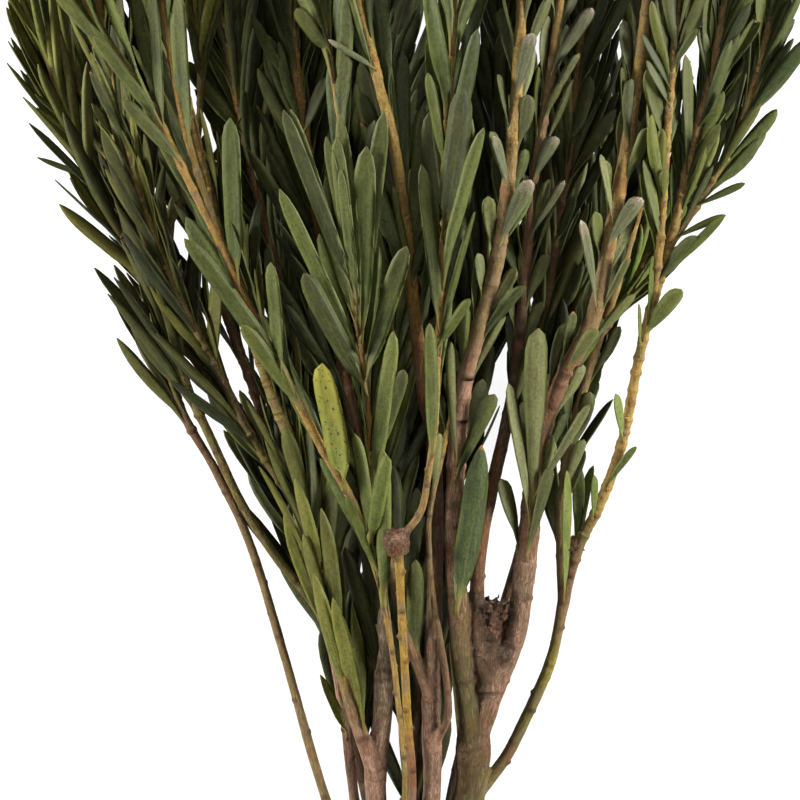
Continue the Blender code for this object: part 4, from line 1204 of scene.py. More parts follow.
# Limbs that stand a little aside of their solids, as the bunch shows them: how far, and where
# along Y they start to move over, are there, start back and are back.
nudges = {
    "stem_7_dead_stub": ((-0.4, -1.0, 4.5), (42, 79, 900, 999)),
    "stem_6_twig": ((-8.0, 0, -4.0), (32, 118, 900, 999)),
    "stem_7_middle": ((-1.8, 0, 0), (38, 56, 128, 165)),
    "stem_10_main": ((1.2, 0, 0), (40, 70, 85, 110)),
    "stem_10_middle": ((5.0, 0, 0), (76, 92, 130, 175)),
}
# Stretches along Y of twigs that show in front of all leaves but the set ones, and stretches of
# limbs that keep only some of their leaves.
openTwigs = {"stem_6_main": (166, 305), "stem_7_outer": (104, 262), "stem_7_front": (108, 400),
             "stem_7_right": (125, 400), "stem_5_left": (112, 205), "stem_4_right": (104, 150)}
sparseTwigs = {"stem_7_outer": (104, 216, 0.04), "stem_7_outer_low": (140, 225, 0.35)}
# Gaps that the floor shows through: both ends, and half the width.
openGaps = [((-74.8, 205), (-73.4, 192), 1.4), ((-63.5, 189), (-68.4, 164), 2.0),
            ((-55.2, 173), (-55.2, 169), 1.6), ((-101.6, 237), (-101.6, 231), 1.2),
            ((-90, 224), (-86, 216), 1.2), ((-50, 90), (-40, 72), 1.8),
            ((-44, 67), (-36.5, 52.5), 1.8)]


def nudged(shoot, at):
    # how far points of a limb stand aside
    offset, turns = nudges.get(shoot.name, ((0, 0, 0), (0, 1, 2, 3)))
    places = [shoot.fine.at(d)[1] for d in np.atleast_1d(at)]
    return np.outer(np.interp(places, turns, (0, 1, 1, 0)), offset)


def movedAside(growth, radius):
    # turns a leaf that grows in front of its twig towards the nearer side of it
    side = growth.ahead.cross(Vector((0, 0, 1))).normalized()
    up = side.cross(growth.ahead)
    angle = math.atan2(growth.outward.dot(up), growth.outward.dot(side))
    if math.sin(angle) < leafTable["inFront"]:
        return growth
    if angle < math.pi / 2:
        angle *= leafTable["aside"]
    else:
        angle = math.pi - (math.pi - angle) * leafTable["aside"]
    outward = side * math.cos(angle) + up * math.sin(angle)
    foot = growth.foot + (outward - growth.outward) * radius * leafShape["shownDepth"]
    return growth._replace(foot=foot, outward=outward)


def leafLine(leaf):
    # the middle line of one leaf with what its blade needs at each point
    table = leafTable
    growth, shoot = leaf.growth, leaf.shoot
    draw = random.Random(f"leaf {shoot.name} {leaf.distance:.2f} {growth.outward.x:.3f}")
    # most leaves turn their face up, but some stay partly edge-on
    facing = draw.uniform(*table["facings"]) if draw.random() < table["turnedShare"] else 1.0
    sway = draw.uniform(-1, 1) * table["sway"] * growth.length
    twist = draw.uniform(-1, 1) * table["twist"]
    look = leafLooks[shoot.limb.foliage or "broad"]
    colour = np.array(draw.choice(look.colours)) * draw.uniform(*table["tones"])
    # painted light and shade: a factor for the whole leaf's colour, by where its foot is along Y
    shade = np.interp(growth.foot.y, *paintedLeafShades[shoot.limb.foliage or "broad"])
    seed = draw.random()
    marks = (draw.random() ** 2 * look.damage * 2, draw.random() ** 3 * look.speckle * 3,
             draw.random() ** 2 * look.yellow * 2)
    share, curl = look.width, draw.uniform(*table["curls"])
    if leaf.set:
        facing, twist = 1.0, twist * table["setTwist"] / table["twist"]
        own = setLooks[leaf.set.look]
        share = shownWidths.get(leaf.set[:2], leaf.set.width * own.width) / leaf.set.width
        seed, marks = own.seed, (own.damage, own.speckle, own.yellow)
        look = leafLooks["olive"] if leaf.set.look == "lone" else look
        colour = colour if own.colour is None else np.array(own.colour)
        if leaf.set not in lowLeaves:
            growth = broughtForward(growth, shoot, leaf.distance)
    else:
        if draw.random() < table["movedShare"]:
            growth = movedAside(growth, shoot.fine.radius(leaf.distance))
        clinging = table["clinging"][shoot.limb.foliage]
        growth = growth._replace(opening=growth.opening * clinging,
                                 curl=growth.curl * clinging + curl,
                                 width=growth.width * draw.uniform(*table["widths"]),
                                 length=growth.length * draw.uniform(*table["lengths"]))
    sections = leafSections(growth, table["stations"], facing, bool(leaf.set))
    # the blade's foot runs down the twig as a keel
    below = max(leaf.distance - table["keelBelow"], 0)
    root = Vector(shoot.fine.at(below))
    root += growth.outward * shoot.fine.radius(below) * table["keelDepth"]
    rows = [(root, sections[0].across, growth.outward, table["keelHalfWidth"],
             -table["keelBelow"] / growth.length)]
    for station, s in zip(table["stations"], sections):
        half = growth.width / 2 * share * shownWidth(station, look, leaf.set)
        place = s.middle + s.across * sway * station * station
        twisted = Matrix.Rotation(twist * station, 3, s.along)
        rows.append((place, twisted @ s.across, twisted @ s.back,
                     max(half, table["tipHalfWidth"]), station))
    places, acrosses, backs, halves, alongs = zip(*rows)
    count = len(rows)
    # a set leaf's tip stays where the photo has it
    aside = nudged(shoot, leaf.distance) * (1 - np.array([alongs]).T if leaf.set else 1)
    return {
        "points": inFrame(np.array(places) + aside),
        "acrossWay": np.array(acrosses),
        "backWay": np.array(backs),
        "halfWidth": np.array(halves) * mm,
        "leafAlong": np.array(alongs),
        "leafSize": np.tile((growth.width / 2 * share, growth.length, seed), (count, 1)),
        "leafColour": np.tile(colour, (count, 1)),
        "leafShade": np.full(count, shade),
        "leafMarks": np.tile(marks, (count, 1)),
    }


def isThinnedOut(leaf):
    low, high, share = sparseTwigs.get(leaf.shoot.name, (0, 0, 1))
    draw = random.Random(f"sparse {leaf.shoot.name} {leaf.distance:.2f}")
    return low < leaf.growth.foot.y < high and draw.random() > share


def frontRows(lines):
    # middle points and half widths of what shows in front: the set leaves and the open twigs
    fronts = [line for leaf, line in lines if leaf.set and leaf.set not in lowLeaves]
    at = np.linspace(*leafTable["coverStations"])
    rows = np.array([[np.interp(at, range(len(line["points"])), values) for values in
                      (*line["points"].T, line["halfWidth"])] for line in fronts])
    found = [rows.transpose(0, 2, 1).reshape(-1, 4)]
    for name, (low, high) in openTwigs.items():
        shoot = shootNamed[name]
        path = shoot.fine
        at = np.arange(path.distanceAt(low), min(path.distanceAt(high), path.length), 2.0)
        radii = np.array([path.radius(d) for d in at])
        places = np.array([path.at(d) for d in at]) + nudged(shoot, at) + np.array(shift)
        places[:, 2] += radii * leafTable["twigFace"]
        found.append(np.column_stack([places, radii]) * mm)
    for *ends, half in openGaps:
        places = np.linspace(*ends, leafTable["gapSteps"]) + np.array(shift)[:2]
        rest = np.tile((leafTable["belowAll"], half), (len(places), 1))
        found.append(np.column_stack([places, rest]) * mm)
    return np.concatenate(found)


def shownLeaves(lines):
    # leaves out what lies in front of those, and most leaves where the bunch is sparse
    x, y, z, half = frontRows(lines).T
    kept, first = [], leafTable["coverStations"][0]
    for leaf, line in lines:
        places, widths = line["points"][first:], line["halfWidth"][first:]
        apart = np.hypot(places[:, :1] - x, places[:, 1:2] - y)
        over = (apart < (widths[:, None] + half) * leafTable["coverShare"]) & (places[:, 2:] > z)
        if leaf.set or not (over.any() or isThinnedOut(leaf)):
            kept.append((leaf, line))
    print(f"leaves: {len(lines) - len(kept)} left out")
    return kept


def ribbonTree():
    # sweeps a lens-shaped or squarish section along lines, following their own directions
    tree, make, given = newTree("ribbon", {
        "Sides": ("Int", 8),
        "Thickness": ("Float", leafTable["thickness"] * mm),
        "Cupping": ("Float", 0.0),
        "Squareness": ("Float", 1.0),
        "Wave": ("Float", 0.0),
        "Wave Scale": ("Float", leafTable["waveScale"]),
        "Material": ("Material", None),
    })
    lines = make.node("GeometryNodeMeshToCurve", (), {"Mesh": given["Geometry"]})
    lines = make.store(lines, "railPlace", make.node("GeometryNodeInputPosition"), "FLOAT_VECTOR")
    circle = make.node("GeometryNodeCurvePrimitiveCircle", (), {0: given["Sides"], 4: 1.0})
    circle = make.store(circle, "roundPlace", make.node("GeometryNodeInputPosition"),
                        "FLOAT_VECTOR")
    swept = make.node("GeometryNodeCurveToMesh", (), {"Curve": lines, "Profile Curve": circle,
                                                      "Scale": mm, "Fill Caps": True})
    u, s, unused = make.split(make.named("roundPlace", "FLOAT_VECTOR"))

    def squared(value):
        return make.maths("SIGN", value) * value.size() ** given["Squareness"]

    u, s = squared(u), squared(s)
    rail = make.named("railPlace", "FLOAT_VECTOR")
    across = make.named("acrossWay", "FLOAT_VECTOR")
    back = make.named("backWay", "FLOAT_VECTOR")
    half = make.named("halfWidth")
    along = make.named("leafAlong")
    thick = make.maths("MINIMUM", given["Thickness"] * 0.5, half * leafTable["edgeThickness"])
    spread = make.scaled(across, u * leafTable["waveAcross"])
    waving = make.noise(make.vector("ADD", make.scaled(rail, 1 / mm), spread),
                        given["Wave Scale"], 1.0) - 0.5
    bent = u * u * half * given["Cupping"]
    rise = s * thick - bent + waving * given["Wave"] * u * u * half
    place = make.vector("ADD", rail, make.scaled(across, u * half))
    place = make.vector("ADD", place, make.scaled(back, rise))
    swept = make.store(swept, "leafPlace", make.join(u, along, s), "FLOAT_VECTOR")
    moved = make.node("GeometryNodeSetPosition", (), {"Geometry": swept, "Position": place})
    endTree(make, moved, given["Material"])
    return tree


# How a limb's bark looks: its colours from foot to end, how fissured and how green with algae it
# is, the spacing and height of its leaf scars, and how far along the colours go if that isn't to
# its first leaves.
BarkLook = namedtuple("BarkLook", "colours fissure algae spacing relief reach", defaults=(0,))
barkColours = {
    "old": (0.104, 0.056, 0.029),
    "rust": (0.110, 0.045, 0.020),
    "brown": (0.078, 0.042, 0.022),
    "dark": (0.028, 0.016, 0.009),
    "grey": (0.105, 0.066, 0.040),
    "tan": (0.110, 0.073, 0.030),
    # pale: the lighter bark of stem_3_main, made lighter still as painted light where that limb
    # lies in shade under the leaves
    "pale": (0.340, 0.240, 0.155),
    "pink": (0.150, 0.085, 0.055),
    "rose": (0.200, 0.110, 0.070),
    "moss": (0.050, 0.040, 0.016),
    "olive": (0.062, 0.050, 0.014),
    "yellow": (0.125, 0.105, 0.015),
    "mustard": (0.150, 0.097, 0.026),
    "amber": (0.155, 0.092, 0.016),
    "orange": (0.135, 0.073, 0.017),
}
barkLooks = {
    "stem_1_main": BarkLook("old old tan tan tan brown", 0.5, 0.1, 13, 0.5),
    "stem_1_side": BarkLook("olive olive", 0.2, 0.0, 9, 0.4),
    "stem_2_main": BarkLook("grey grey pink olive olive", 0.7, 0.1, 12, 0.5),
    "stem_2_side": BarkLook("olive olive", 0.2, 0.0, 9, 0.4),
    # its pale stretch is its own lighter bark with painted light added
    "stem_3_main": BarkLook("brown old old pink pink pink pale pale pale brown", 1.0, 0.15, 16,
                            0.5),
    "stem_3_left": BarkLook("pink pink tan mustard", 0.8, 0.15, 10, 0.6),
    "stem_3_far_left": BarkLook("olive olive", 0.3, 0.1, 9, 0.4),
    "stem_3_low": BarkLook("brown brown", 0.5, 0.0, 12, 0.4),
    "stem_4_main": BarkLook(5 * "brown " + 4 * "rust " + 5 * "amber " + "mustard", 0.35, 0.15,
                            7.5, 0.75),
    "stem_4_knob": BarkLook("amber old old", 0.9, 0.0, 30, 0.9),
    "stem_4_right": BarkLook("tan mustard", 0.15, 0.0, 9, 0.6),
    "stem_5_main": BarkLook("brown brown olive mustard mustard", 0.4, 0.1, 8, 0.7),
    "stem_5_left": BarkLook("mustard mustard", 0.15, 0.0, 9, 0.5),
    "stem_5_fork": BarkLook("mustard olive", 0.15, 0.0, 9, 0.4),
    "stem_6_main": BarkLook("old grey pink pink grey brown rust orange mustard mustard mustard "
                            "orange", 1.0, 0.1, 15, 0.6, 520),
    "stem_6_left": BarkLook("brown tan", 0.6, 0.0, 11, 0.5),
    "stem_6_twig": BarkLook("old brown brown tan tan tan", 0.3, 0.0, 9, 0.4),
    "stem_7_main": BarkLook("brown brown moss brown", 1.0, 0.7, 16, 0.6),
    "stem_7_front": BarkLook("moss moss old rose rose rose tan tan tan mustard mustard", 1.0, 0.6,
                             12, 0.7, 300),
    "stem_7_right": BarkLook("brown pink pink pink old brown old tan tan mustard tan mustard", 1.0,
                             0.35, 12, 0.8, 300),
    "stem_7_middle": BarkLook("dark brown rust brown dark brown brown tan mustard", 0.9, 0.2, 10,
                              0.6, 300),
    "stem_7_dead_stub": BarkLook("brown dark dark", 1.2, 0.2, 30, 0.8),
    "stem_7_outer": BarkLook("olive olive brown olive olive yellow tan brown brown olive mustard",
                             0.4, 0.4, 8, 0.8, 138),
    "stem_7_outer_knob": BarkLook("brown dark", 0.8, 0.2, 3, 0.9),
    "stem_7_outer_low": BarkLook("olive tan", 0.4, 0.1, 8, 0.6),
    "stem_7_outer_front": BarkLook("mustard mustard", 0.15, 0.0, 8, 0.5),
    "stem_7_outer_right": BarkLook("mustard olive", 0.15, 0.0, 8, 0.4),
    "stem_8_main": BarkLook("brown dark brown", 0.8, 0.1, 12, 0.5),
    "stem_9_main": BarkLook("brown dark brown", 0.8, 0.1, 12, 0.5),
    "stem_10_main": BarkLook("brown dark brown", 0.8, 0.1, 12, 0.5),
}
# how much lighter some limbs are than that: partly their own paler bark, partly painted light on
# limbs that lie in shade low in the bunch
barkToneAndPaintedLight = {"stem_1_main": 1.1, "stem_2_main": 1.35, "stem_3_main": 1.25, "stem_3_left": 1.3,
              "stem_7_outer": 1.2}
otherBark = BarkLook("brown brown", 0.5, 0.1, 11, 0.4)
# the twigs that leaves grow on, by the kind of leaf
twigColours = {"broad": "orange mustard mustard", "olive": "olive mustard olive",
               "grey": "tan mustard mustard tan", "bright": "mustard tan mustard",
               "inner": "brown orange olive"}
# Rough lumps at the ends of pruned limbs: how many, how thick, how far they stand up, over how
# much of the end, and their colours.
Burl = namedtuple("Burl", "count thickness height reach colours")
burls = {"stem_4_knob": Burl(90, 0.7, 1.0, 6, "old rust pink brown old"),
         "stem_7_outer_knob": Burl(40, 0.9, 1.2, 5, "dark brown"),
         "stem_7_dead_stub": Burl(280, 0.65, 2.0, 24, "dark brown dark dark")}
# how thick some limbs are, as a share of their solids
fattened = {"stem_4_knob": 1.0, "stem_7_outer_knob": 0.95, "stem_7_dead_stub": 1.4,
            "stem_4_right": 0.82, "stem_6_main": 1.1,
            "stem_4_main": 0.85, "stem_5_main": 0.68, "stem_7_front": 1.12}

wood = {
    "step": 2.5,
    "burlStep": 0.9,
    "sides": 14,
    "flare": 0.4,
    "flareReach": 5.0,
    "flareMost": 0.95,
    "footFade": 7,
    "agesOver": 30,
    "youngFissure": 0.15,
    "neck": 0.75,
    "neckEnd": 0.2,
    "headStarts": 0.25,
    "knobRoundness": 4,
    "stubRoundness": 3.5,
    "topClosed": 0.85,
    "burlDepths": (0.4, 1.1),
    "burlSizes": (0.6, 1.1),
    "lowestBurl": 0.3,
    "burlLean": 0.4,
    "burlTaper": 0.7,
    "burlFissure": 1.6,
    "swelling": 0.13,
    "swellingReach": 7.0,
    "lumps": 0.05,
    "voxel": 0.66,
    "smoothRounds": 2,
    "relief": 0.34,
    "twigRelief": 0.4,
    "reliefScale": 0.55,
    "scarArc": 0.75,
    "scarPlaces": (-1, -0.5, 0, 0.5, 1),
    "scarWidths": (0.45, 0.85, 1.1, 0.85, 0.45),
    "scarSlope": 0.6,
    "scarHeights": (0.6, 1.2),
    "scarSpacings": (0.6, 1.4),
    "scarsFrom": 3,
    "scarsEnd": 3,
    "scarFade": (1.6, 0.5),
    "twigSides": 10,
    "twigStep": 3.0,
    "twigRoot": 4.0,
    "footMark": (1.5, 2.5),
    "markRadius": 0.3,
    "twigFattening": 0.25,
    "thinRadius": 1.9,
    "thinOver": 0.6,
    "nodeBulge": 0.22,
    "nodeReach": 1.1,
    "bulgeSteps": (-1.3, -0.5, 0.3, 1.1),
}


def lumpy(draw, count):
    # smoothly changing values from -1 to 1 along a line
    knots = [draw.uniform(-1, 1) for _ in range(count // 4 + 3)]
    return np.interp(np.linspace(0, len(knots) - 1, count), range(len(knots)), knots)


def ownPlace(shoot):
    # far apart for each limb, so that no two have the same bark
    return 1000 * shoots.index(shoot)


def woodEnd(shoot):
    return shoot.bare * shoot.stretch if shoot.limb.foliage else shoot.fine.length


def barkColourAt(shoot, at):
    # the colours of the wood up to its first leaves, then the twig's, and near its foot the
    # colour of the limb that it grows from
    end = woodEnd(shoot)
    look = barkLooks.get(shoot.name, otherBark)
    names, reach = look.colours.split(), look.reach or end
    knots = list(np.linspace(0, reach, len(names)))
    if shoot.limb.foliage and reach < shoot.fine.length:
        more = twigColours[shoot.limb.foliage].split()
        knots += list(np.linspace(reach, shoot.fine.length, len(more) + 1)[1:])
        names += more
    stops = np.array([barkColours[name] for name in names])
    colours = np.stack([np.interp(at, knots, stops[:, k]) for k in range(3)], 1)
    # partly the limb's own paler bark, partly painted light where it lies in shade
    colours *= barkToneAndPaintedLight.get(shoot.name, 1)
    if shoot.bearer:
        foot = barkColourAt(shoot.bearer, np.array([shoot.joint * shoot.bearer.stretch]))
        fade = np.exp(-((at / wood["footFade"]) ** 2))[:, None]
        colours = colours * (1 - fade) + foot * fade
    return colours


def limbLine(shoot, first, last, step, bulges=()):
    # the middle line of part of a limb, with what its bark needs at each point
    path = shoot.fine
    at = list(np.linspace(first, last, max(3, math.ceil((last - first) / step) + 1)))
    for bulge in bulges:
        at += [bulge + d for d in wood["bulgeSteps"] if first < bulge + d < last]
    at = np.unique(np.round(at, 2))
    draw = random.Random(f"bark {shoot.name} {first:.1f}")
    radii = np.array([path.radius(d) for d in at])
    thin = np.clip((wood["thinRadius"] - radii) / wood["thinOver"], 0, 1)
    radii *= 1 + wood["twigFattening"] * thin
    radii *= fattened.get(shoot.name, 1)
    if shoot.name in burls:
        # a round head on a narrower neck
        risen = np.linspace(0, 1, len(at))
        isKnob = shoot.name.endswith("knob")
        neck = wood["neck"] if isKnob else 1
        past = np.clip((risen - wood["neckEnd"]) / wood["headStarts"], 0, 1)
        radii *= neck + (1 - neck) * past
        power = wood["knobRoundness" if isKnob else "stubRoundness"]
        radii *= np.sqrt(1 - wood["topClosed"] * risen ** power)
    elif shoot.bearer:
        flare = 1 + wood["flare"] * np.exp(-at / wood["flareReach"])
        most = shoot.bearer.fine.radius(shoot.joint * shoot.bearer.stretch)
        radii = np.minimum(radii * flare, np.maximum(radii, most * wood["flareMost"]))
    joints = [other.joint * shoot.stretch for other in shoots if other.bearer is shoot]
    if joints:
        near = np.min([abs(at - joint) for joint in joints], axis=0)
        radii *= 1 + wood["swelling"] * np.exp(-((near / wood["swellingReach"]) ** 2))
    for bulge in bulges:
        radii += wood["nodeBulge"] * np.exp(-((at - bulge) / wood["nodeReach"]) ** 2)
    radii *= 1 + wood["lumps"] * lumpy(draw, len(at))
    aheads = np.array([path.direction(d) for d in at])
    sides = np.cross(aheads, (0, 0, 1))
    sides /= np.linalg.norm(sides, axis=1)[:, None]
    look = barkLooks.get(shoot.name, otherBark)
    old = np.exp(-np.maximum(at - woodEnd(shoot), 0) / wood["agesOver"])
    smooth = wood["youngFissure"]
    return {
        "points": inFrame(np.array([path.at(d) for d in at]) + nudged(shoot, at)),
        "tubeRadius": radii * mm,
        "sideWay": sides,
        "upWay": np.cross(sides, aheads),
        "aheadWay": aheads,
        "alongMm": at + ownPlace(shoot),
        "barkColour": barkColourAt(shoot, at),
        "barkMarks": np.stack([smooth + (look.fissure - smooth) * old, look.algae * old,
                               np.full(len(at), draw.random())], 1),
    }


def scarLines(shoot):
    # short ridges half round the limb where leaves have fallen, in a spiral
    path, found, look = shoot.fine, [], barkLooks.get(shoot.name, otherBark)
    draw = random.Random(f"scars {shoot.name}")
    distance, turn = wood["scarsFrom"] + draw.uniform(2, 6), draw.uniform(0, 6)
    while distance < woodEnd(shoot) - wood["scarsEnd"]:
        ahead, side, up = path.axes(distance)
        radius, middle = path.radius(distance), Vector(path.at(distance)) + shift
        middle += Vector(nudged(shoot, distance)[0])
        height = look.relief * draw.uniform(*wood["scarHeights"])
        places = []
        for arc in wood["scarPlaces"]:
            angle = turn + arc * wood["scarArc"]
            slope = ahead * (0.25 - arc * arc * 0.5) * radius * wood["scarSlope"]
            places.append(middle + (side * math.cos(angle) + up * math.sin(angle)) * radius + slope)
        widths = np.array(wood["scarWidths"]) * height
        found.append({"points": np.array(places) * mm, "tubeRadius": widths * mm})
        turn += spiral["goldenAngle"]
        distance += look.spacing * draw.uniform(*wood["scarSpacings"])
    return found


def burlLines(shoot):
    # blobs about a pruned end, which lend the bark round them its colour
    found = []
    if shoot.name not in burls:
        return found
    draw, path, burl = random.Random(f"burls {shoot.name}"), shoot.fine, burls[shoot.name]
    swell = fattened[shoot.name]
    for _ in range(burl.count):
        distance = max(path.length - draw.random() ** 1.5 * burl.reach,
                       path.length * wood["lowestBurl"])
        ahead, side, up = path.axes(distance)
        turn, reach = draw.uniform(0, 2 * math.pi), draw.uniform(*wood["burlDepths"])
        out = side * math.cos(turn) + up * math.sin(turn)
        foot = Vector(path.at(distance)) + shift + Vector(nudged(shoot, distance)[0])
        foot += out * path.radius(distance) * swell * reach
        tip = foot + (ahead * draw.uniform(0.2, 1) + out * wood["burlLean"]) * burl.height
        radius = burl.thickness * draw.uniform(*wood["burlSizes"])
        shade = np.array(barkColours[draw.choice(burl.colours.split())])
        found.append({
            "points": np.array([foot, tip]) * mm,
            "tubeRadius": np.array([radius, radius * wood["burlTaper"]]) * mm,
            "sideWay": np.array([side, side]),
            "upWay": np.array([up, up]),
            "aheadWay": np.array([ahead, ahead]),
            "alongMm": np.array([distance, distance + burl.height]) + ownPlace(shoot),
            "barkColour": np.array([shade, shade]),
            "barkMarks": np.array([[wood["burlFissure"], 0, draw.random()]] * 2),
        })
    return found


def tubeTree():
    tree, make, given = newTree("tube", {"Sides": ("Int", 12), "Material": ("Material", None)})
    lines = make.node("GeometryNodeMeshToCurve", (), {"Mesh": given["Geometry"]})
    circle = make.node("GeometryNodeCurvePrimitiveCircle", (), {0: given["Sides"], 4: 1.0})
    swept = make.node("GeometryNodeCurveToMesh", (), {
        "Curve": lines, "Profile Curve": circle, "Scale": make.named("tubeRadius"),
        "Fill Caps": True})
    endTree(make, swept, given["Material"])
    return tree


def barkTree():
    # takes each point's place on its limb from the nearest point of the skeleton
    tree, make, given = newTree("barkOnSkeleton", {
        "Skeleton": ("Object", None),
        "Scars": ("Object", None),
        "Relief": ("Float", wood["relief"] * mm),
        "Relief Scale": ("Float", wood["reliefScale"]),
        "Material": ("Material", None),
    })
    bones = make.node("GeometryNodeObjectInfo", (), {"Object": given["Skeleton"]}, 4)
    scars = make.node("GeometryNodeObjectInfo", (), {"Object": given["Scars"]}, 4)
    place = make.node("GeometryNodeInputPosition")
    nearest = make.node("GeometryNodeSampleNearest", {"domain": "POINT"}, {"Geometry": bones})

    def sampled(value, kind="FLOAT_VECTOR"):
        return make.node("GeometryNodeSampleIndex", {"data_type": kind, "domain": "POINT"},
                         {"Geometry": bones, "Value": value, "Index": nearest})

    offset = make.vector("SUBTRACT", place, sampled(place))
    x, y, z = (
        make.dot(offset, sampled(make.named(name, "FLOAT_VECTOR"))) / mm
        for name in ("sideWay", "upWay", "aheadWay")
    )
    along = z + sampled(make.named("alongMm"), "FLOAT")

    def blurred(name):
        return make.node("GeometryNodeBlurAttribute", {"data_type": "FLOAT_VECTOR"},
                         {"Value": sampled(make.named(name, "FLOAT_VECTOR")), "Iterations": 5})

    marks = blurred("barkMarks")
    fissure = make.split(marks)[0]
    gap = make.node("GeometryNodeProximity", {"target_element": "POINTS"}, {0: scars}, 1) / mm
    rough = make.noise(make.join(x, y, along * 0.16), given["Relief Scale"], 2.0, 0.6, 0.4) - 0.5
    lumps = make.noise(make.join(x, y, along), 0.16, 1.0) - 0.5
    push = (rough * (0.3 + fissure) + lumps * 0.8) * given["Relief"]
    normal = make.node("GeometryNodeInputNormal")
    shape = make.store(given["Geometry"], "barkPlace", make.join(x, y, along), "FLOAT_VECTOR")
    shape = make.store(shape, "barkColour", blurred("barkColour"), "FLOAT_VECTOR")
    shape = make.store(shape, "barkMarks", marks, "FLOAT_VECTOR")
    shape = make.store(shape, "barkScar", gap.ramp(*wood["scarFade"]))
    moved = make.node("GeometryNodeSetPosition", (), {"Geometry": shape,
                                                      "Offset": make.scaled(normal, push)})
    endTree(make, moved, given["Material"])
    return tree


tubes, barks, ribbons = tubeTree(), barkTree(), ribbonTree()


def barkPiece(name, lines, scars, material, sides, voxel=None, lumps=()):
    skeleton = newPiece("skeleton", lineMesh("skeleton", lines + list(lumps)))
    marks = newPiece("marks", lineMesh("marks", scars or lines[:1]))
    plain = [{key: line[key] for key in ("points", "tubeRadius")} for line in lines + list(lumps)]
    piece = newPiece(name, lineMesh(name, plain + (scars if voxel else [])))
    addTree(piece, tubes, {"Sides": sides})
    if voxel:
        remesh = piece.modifiers.new("remesh", "REMESH")
        remesh.mode = "VOXEL"
        remesh.voxel_size = voxel * mm
        smooth = piece.modifiers.new("smooth", "SMOOTH")
        smooth.iterations = wood["smoothRounds"]
    addTree(piece, barks, {"Skeleton": skeleton, "Scars": marks, "Material": material,
                           "Relief": wood["relief"] * mm * (1 if voxel else wood["twigRelief"])})
    settle(piece)
    for helper in (skeleton, marks):
        bpy.data.objects.remove(helper)
    return piece


def leafMaterial():
    material, make = newMaterial("leafSkin")
    u, v, side = make.split(make.attribute("leafPlace"))
    half, length, seed = make.split(make.attribute("leafSize"))
    damage, speckle, yellow = make.split(make.attribute("leafMarks"))
    base = make.attribute("leafColour", 0)
    across, along = u * half, v * length
    apart = seed * 400
    grain = make.noise(make.join(across * 1.1, along * 0.08, apart + side), 1.0, 3.0, 0.65, 0.6)
    clouds = make.noise(make.join(across * 0.25, along * 0.09, apart), 1.0, 4.0, 0.65, 0.8)
    fine = make.noise(make.join(across * 0.95, along * 0.75, apart), 1.0, 3.0, 0.7)
    dots = make.noise(make.join(across, along, apart), 0.65, 1.0, 0.5)

    # cloudy, with fine streaks along it
    tone = 0.6 + clouds * 0.6 + (grain - 0.5) * 1.2 + (fine - 0.5) * 1.9
    colour = make.mixColour(1.0, base, make.join(tone, tone, tone), "MULTIPLY")
    pale = (clouds * 0.6 + fine * 0.4).ramp(0.45, 0.68) * 0.3
    colour = make.mixColour(pale, colour, (0.066, 0.074, 0.025, 1))
    # lighter, yellower margins and midrib
    rim = u.size().ramp(0.76, 0.98) * (0.5 + fine * 0.7)
    colour = make.mixColour(rim.least(1) * 0.5, colour, (0.062, 0.084, 0.006, 1))
    rib = u.size().ramp(0.14, 0.0) * v.ramp(0.95, 0.3)
    colour = make.mixColour(rib * 0.28, colour, (0.070, 0.076, 0.022, 1))
    yellowed = yellow * (clouds.ramp(0.3, 0.7) * 0.5 + v.ramp(0.1, 0.9) * 0.6)
    colour = make.mixColour(yellowed.least(1), colour, (0.130, 0.112, 0.012, 1))
    # black speckles
    spots = dots.ramp(0.64, 0.7) * speckle.least(1)
    colour = make.mixColour(spots, colour, (0.012, 0.010, 0.006, 1))
    # yellowish foot with a dark ring, and a purple-brown edge where it runs down the twig
    foot = v.ramp(0.22, 0.03) * (0.6 + grain * 0.6)
    colour = make.mixColour(foot.least(1) * 0.75, colour, (0.100, 0.076, 0.017, 1))
    ring = v.ramp(0.035, 0.0) * v.ramp(-0.03, 0.0)
    colour = make.mixColour(ring * 0.75, colour, (0.045, 0.022, 0.014, 1))
    keel = v.ramp(-0.005, -0.02)
    colour = make.mixColour(keel * 0.8, colour, (0.075, 0.034, 0.019, 1))
    # dry, whitish patches towards the tip, and the callus at its very end
    dry = (v + (clouds - 0.5) * 0.5 + (fine - 0.5) * 0.35 + damage * 0.25).ramp(0.92, 1.06)
    dry = dry * damage.ramp(0.12, 0.7)
    colour = make.mixColour(dry * 0.75, colour, (0.115, 0.092, 0.062, 1))
    chewed = (v + (fine - 0.5) * 0.35 + damage * 0.05).ramp(1.0, 1.03) * damage.ramp(0.2, 0.6)
    colour = make.mixColour(chewed, colour, (0.25, 0.22, 0.175, 1))
    callus = v.ramp(0.965, 0.985) * (0.1 + seed.ramp(0.86, 0.94) * 0.9)
    colour = make.mixColour(callus * 0.8, colour, (0.140, 0.055, 0.014, 1))
    # painted light and shade: the leaf's whole colour is multiplied by its shade factor
    shade = make.attribute("leafShade", 2)
    colour = make.mixColour(1.0, colour, make.join(shade, shade, shade), "MULTIPLY")

    roughness = 0.5 + fine * 0.2 + dry * 0.2
    height = grain * 0.6 + fine * 0.25 + spots * 0.4
    bump = make.node("ShaderNodeBump", (), {"Strength": 0.35, "Distance": 0.25 * mm,
                                            "Height": height})
    return finishMaterial(material, Base_Color=colour, Roughness=roughness, Normal=bump,
                          Specular_IOR_Level=0.14)


